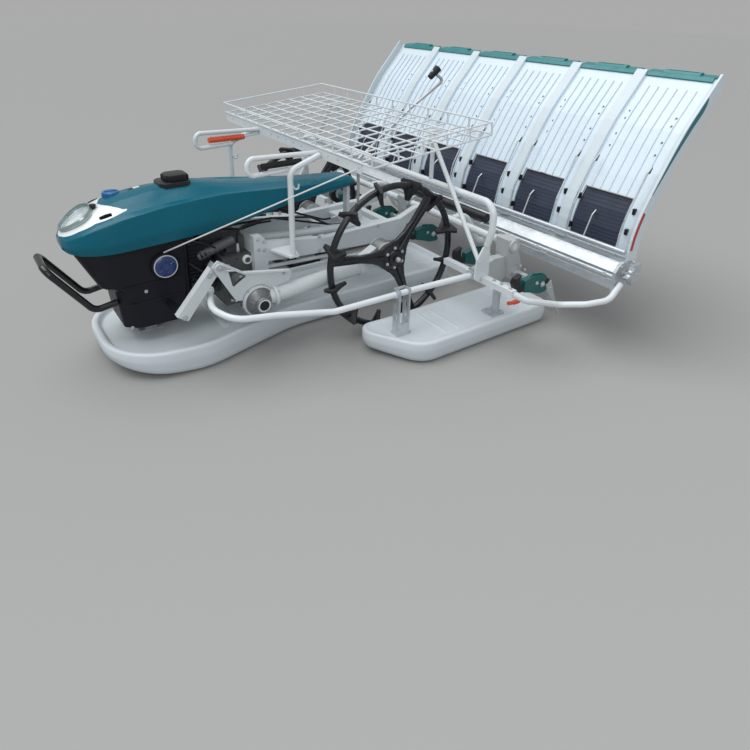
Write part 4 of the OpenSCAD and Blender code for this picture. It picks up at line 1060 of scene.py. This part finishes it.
def tray_hit(tree, y, z):
    """Where a level line from in front of the tray first meets it."""
    return hit(tree, (-300, y, z), BACK)


def add_tray_details():
    panel = surface_of("tray_panel")
    hole_shades, lips, clips, tips = Geo(), Geo(), Geo(), Geo()
    for mid in BAYS:
        for dy in (-101, 88):
            for z in (800, 775, 722, 681):
                spot, normal = tray_hit(panel, mid + dy, z)
                # each hole is a flat dark grey disc on the panel: painted shade standing in for the dark opening
                hole_shades.lathe([(3.8, -1), (3.8, 0.5), (0.1, 0.5)], spot, normal, 12)
                lips.lathe([(5.6, -1), (5.6, 0.6), (4.7, 1.1), (3.9, 0.8), (3.9, -1)], spot, normal, 14)
        # end caps of the spring rods, and the clips that carry them
        for dy in (-104, 114):
            tips.tube([(-712, mid + dy, 650), (-709, mid + dy, 645), (-700, mid + dy, 630)], [3.4, 4.2, 4.2], 10)
        for dy, z in ((-118, 500), (-118, 392), (116, 500), (116, 430)):
            spot, _ = tray_hit(panel, mid + dy, z)
            if spot is not None:
                clips.box(spot - Vector((2, 5, 11)), spot + Vector((10, 5, 11)), 2)
        tips.tube([(-642, mid - 26, 470), (-640, mid - 26, 464), (-634, mid - 26, 452)], [3.0, 3.8, 3.8], 10)
    hole_shades.make("tray_holes", "hole_shade", "feed_belts", "tray")
    lips.make("tray_hole_lips", "tray", "tray_panel", "tray", sharp=50)

    # coloured bands on the outer faces of the side plates: height, then their two distances from the tray's line
    def band(name, key, rows, slot):
        rings = []
        for z, front, rear in rows:
            n = unit((1, 0, (level(TRAY_ROWS, z - 4) - level(TRAY_ROWS, z + 4)) / 8))
            rings.append([(level(TRAY_ROWS, z) + n.x * d, y, z + n.z * d)
                          for d, y in ((front, 911), (front, 912.9), (rear, 912.9), (rear, 911))])
        Geo().loft(rings).twin().make(name, key, slot, "tray")

    band("tray_stripe", "stripe", [(556, 27, 25), (600, 27, 20), (660, 27, 15), (720, 27, 10), (780, 27, 6),
                                   (826, 27, 4), (846, 27, 10), (860, 27, 21)], "tray_caps")
    band("tray_patch", "red", [(377, 27, 13), (420, 27, 13), (460, 27, 13), (500, 27, 13)], "orange_grip")
    tips.make("rod_tips", "cap_black", "feed_belts", "tray")
    clips.make("rod_clips", "cap_black", "feed_belts", "tray")
    # cross ribs on the rubber feed belts
    ribs = Geo()
    belts = surface_of("feed_belts")
    for mid in BAYS:
        for z in range(352, 526, 13):
            left, right = (tray_hit(belts, mid + dy, z)[0] for dy in (-104, 80))
            if left is not None and right is not None and abs(left.x - right.x) < 2:
                ribs.tube([left, right], 1.5, 6)
    ribs.make("belt_ribs", "belt", "feed_belts", "tray")


def add_rail_details():
    g = Geo().bolts([(-492, y, 318) for y in range(-900, 901, 150)], (0.4, 0, 0.9), 4.5, 7, 3.5)
    knob = Geo()
    for side in (1, -1):
        way = (0, side, 0)
        for c, s in circle(6, 15):
            knob.lathe([(7.5, -7), (8.6, -4), (8.6, 4), (7.5, 7)], (-545 + c, 969 * side, 320 + s), way, 12)
        g.bolt((-545, 970 * side, 320), way, 6, 9, 5)
        g.bolts([(x, 942 * side, z) for x, z in ((-590, 352), (-560, 296), (-520, 350))], way, 5, 7.5, 4)
    g.make("rail_bolts", "zinc", "guide_rail")
    knob.make("rail_knob_lobes", "zinc", "rail_ends")


# Planting arms

def add_arm_details():
    zinc, black, cover = Geo(), Geo(), Geo()
    for base in BAYS:
        for side in (1, -1):
            y, way = base + side * 12, (0, side, 0)
            zinc.bolt((-350, y, 256), way, 7, 11, 5)
            zinc.bolts([(-396, y, 232), (-318, y, 268)], way, 4.5, 7, 4)
        black.lathe([(9, -13), (10, -12), (10, 12), (9, 13)], (-372, base, 262), LEFT, 16)
    zinc.make("arm_bolts", "zinc", "planting_claws")
    black.make("arm_seals", "cap_black", "arm_covers")
    # fuse clip of orange rubber by the nearest arm
    clip = Geo().tube([(-296, 716, 186), (-286, 716, 187), (-262, 718, 189), (-250, 718, 190)], [5, 9, 9, 5], 14)
    clip.tube([(-250, 718, 190), (-232, 719, 193)], [7, 7], 6)
    clip.make("arm_clip", "orange", "orange_grip")
    for y in (-600, 0, 600):
        for side in (1, -1):
            cover.bolts([(-350 + c, y + side * 52, 256 + s) for c, s in circle(5, 30, 20)], (0, side, 0), 4, 6, 3)
    cover.make("case_bolts", "zinc", "planting_cases")


# Grips and float brackets

def add_grip_details():
    g = Geo()
    for x in range(324, 445, 10):
        g.lathe([(10.2, -2.4), (11.4, -1.2), (11.4, 1.2), (10.2, 2.4)], (x, -230, 661), ALONG, 16)
    g.make("orange_grip_rings", "orange", "orange_grip")


def add_float_details():
    """Bolts of the float brackets and hinge pins."""
    g = Geo()
    for side in (1, -1):
        g.bolts([(x, side * y, 89.3) for x in (67, 112) for y in (514, 536)], UP, 4, 6, 3.5)
        g.bolt((118, side * 528, 230), ALONG, 6, 9, 5)
        g.bolt((70, side * 528, 230), BACK, 6, 9, 5)
        g.bolts([(-322, side * y, 89) for y in (592, 608)], UP, 4, 6, 3.5)
    g.make("bracket_bolts", "zinc", "float_brackets")


# Stage

FLOOR_RGB = (0.32, 0.315, 0.305)
SEEN_RGB = (0.403, 0.408, 0.403)
FLOOR_HALF = 30


def add_stage():
    mesh = bpy.data.meshes.new("floor")
    r = FLOOR_HALF
    mesh.from_pydata([(-r, -r, 0), (r, -r, 0), (r, r, 0), (-r, r, 0)], [], [(0, 1, 2, 3)])
    floor = new_object("floor", mesh)
    m, _, shader = new_material("floor")
    feed(shader, {"Base Color": (*FLOOR_RGB, 1), "Roughness": 0.9})
    mesh.materials.append(m)

    world = bpy.data.worlds.new("sky")
    bpy.context.scene.world = world
    world.use_nodes = True
    tree = world.node_tree
    back = feed(tree.nodes["Background"], {"Color": (0.92, 0.96, 1.0, 1), "Strength": 0.55})
    # the camera, reflections and clear plastic see the sky as pale as the floor
    seen = node(tree, "Background", {"Color": (*SEEN_RGB, 1), "Strength": 1.0})
    path = node(tree, "LightPath").outputs
    through = sums(tree, "MAXIMUM", path["Is Camera Ray"], path["Is Transmission Ray"])
    either = sums(tree, "MAXIMUM", through, path["Is Glossy Ray"])
    blend = node(tree, "MixShader", {0: either, 1: back.outputs[0], 2: seen.outputs[0]})
    feed(tree.nodes["World Output"], {"Surface": blend.outputs[0]})

    def lamp(name, kind, where, strength, rgb):
        data = bpy.data.lights.new(name, kind)
        data.energy = strength
        data.color = rgb
        ob = new_object(name, data)
        ob.location = where
        ob.rotation_euler = (Vector((0, 0, 0.3)) - Vector(where)).to_track_quat("-Z", "Y").to_euler()
        return data

    # broad daylight from above, the same all over the floor
    lamp("key", "SUN", (1.5, -1.2, 5.4), 2.3, (0.97, 0.99, 1.0)).angle = radians(60)
    fill = lamp("fill", "AREA", (2.6, 4.2, 3.0), 60, (0.93, 0.97, 1.0))
    fill.shape = "DISK"
    fill.size = 3.0


add_camera()
tint_nodes()
dress_nodes()
add_hood()
add_lamp()
add_hood_fittings()
add_floats()
for side_name, side_sign in SIDES.items():
    add_wheel(side_name, side_sign)
    add_swing_details(side_name, side_sign)
add_engine()
add_gearbox_details()
add_guards()
add_stay_details()
add_tray_details()
add_rail_details()
add_arm_details()
add_grip_details()
add_float_details()
add_stage()
bpy.context.scene.view_settings.view_transform = "Standard"
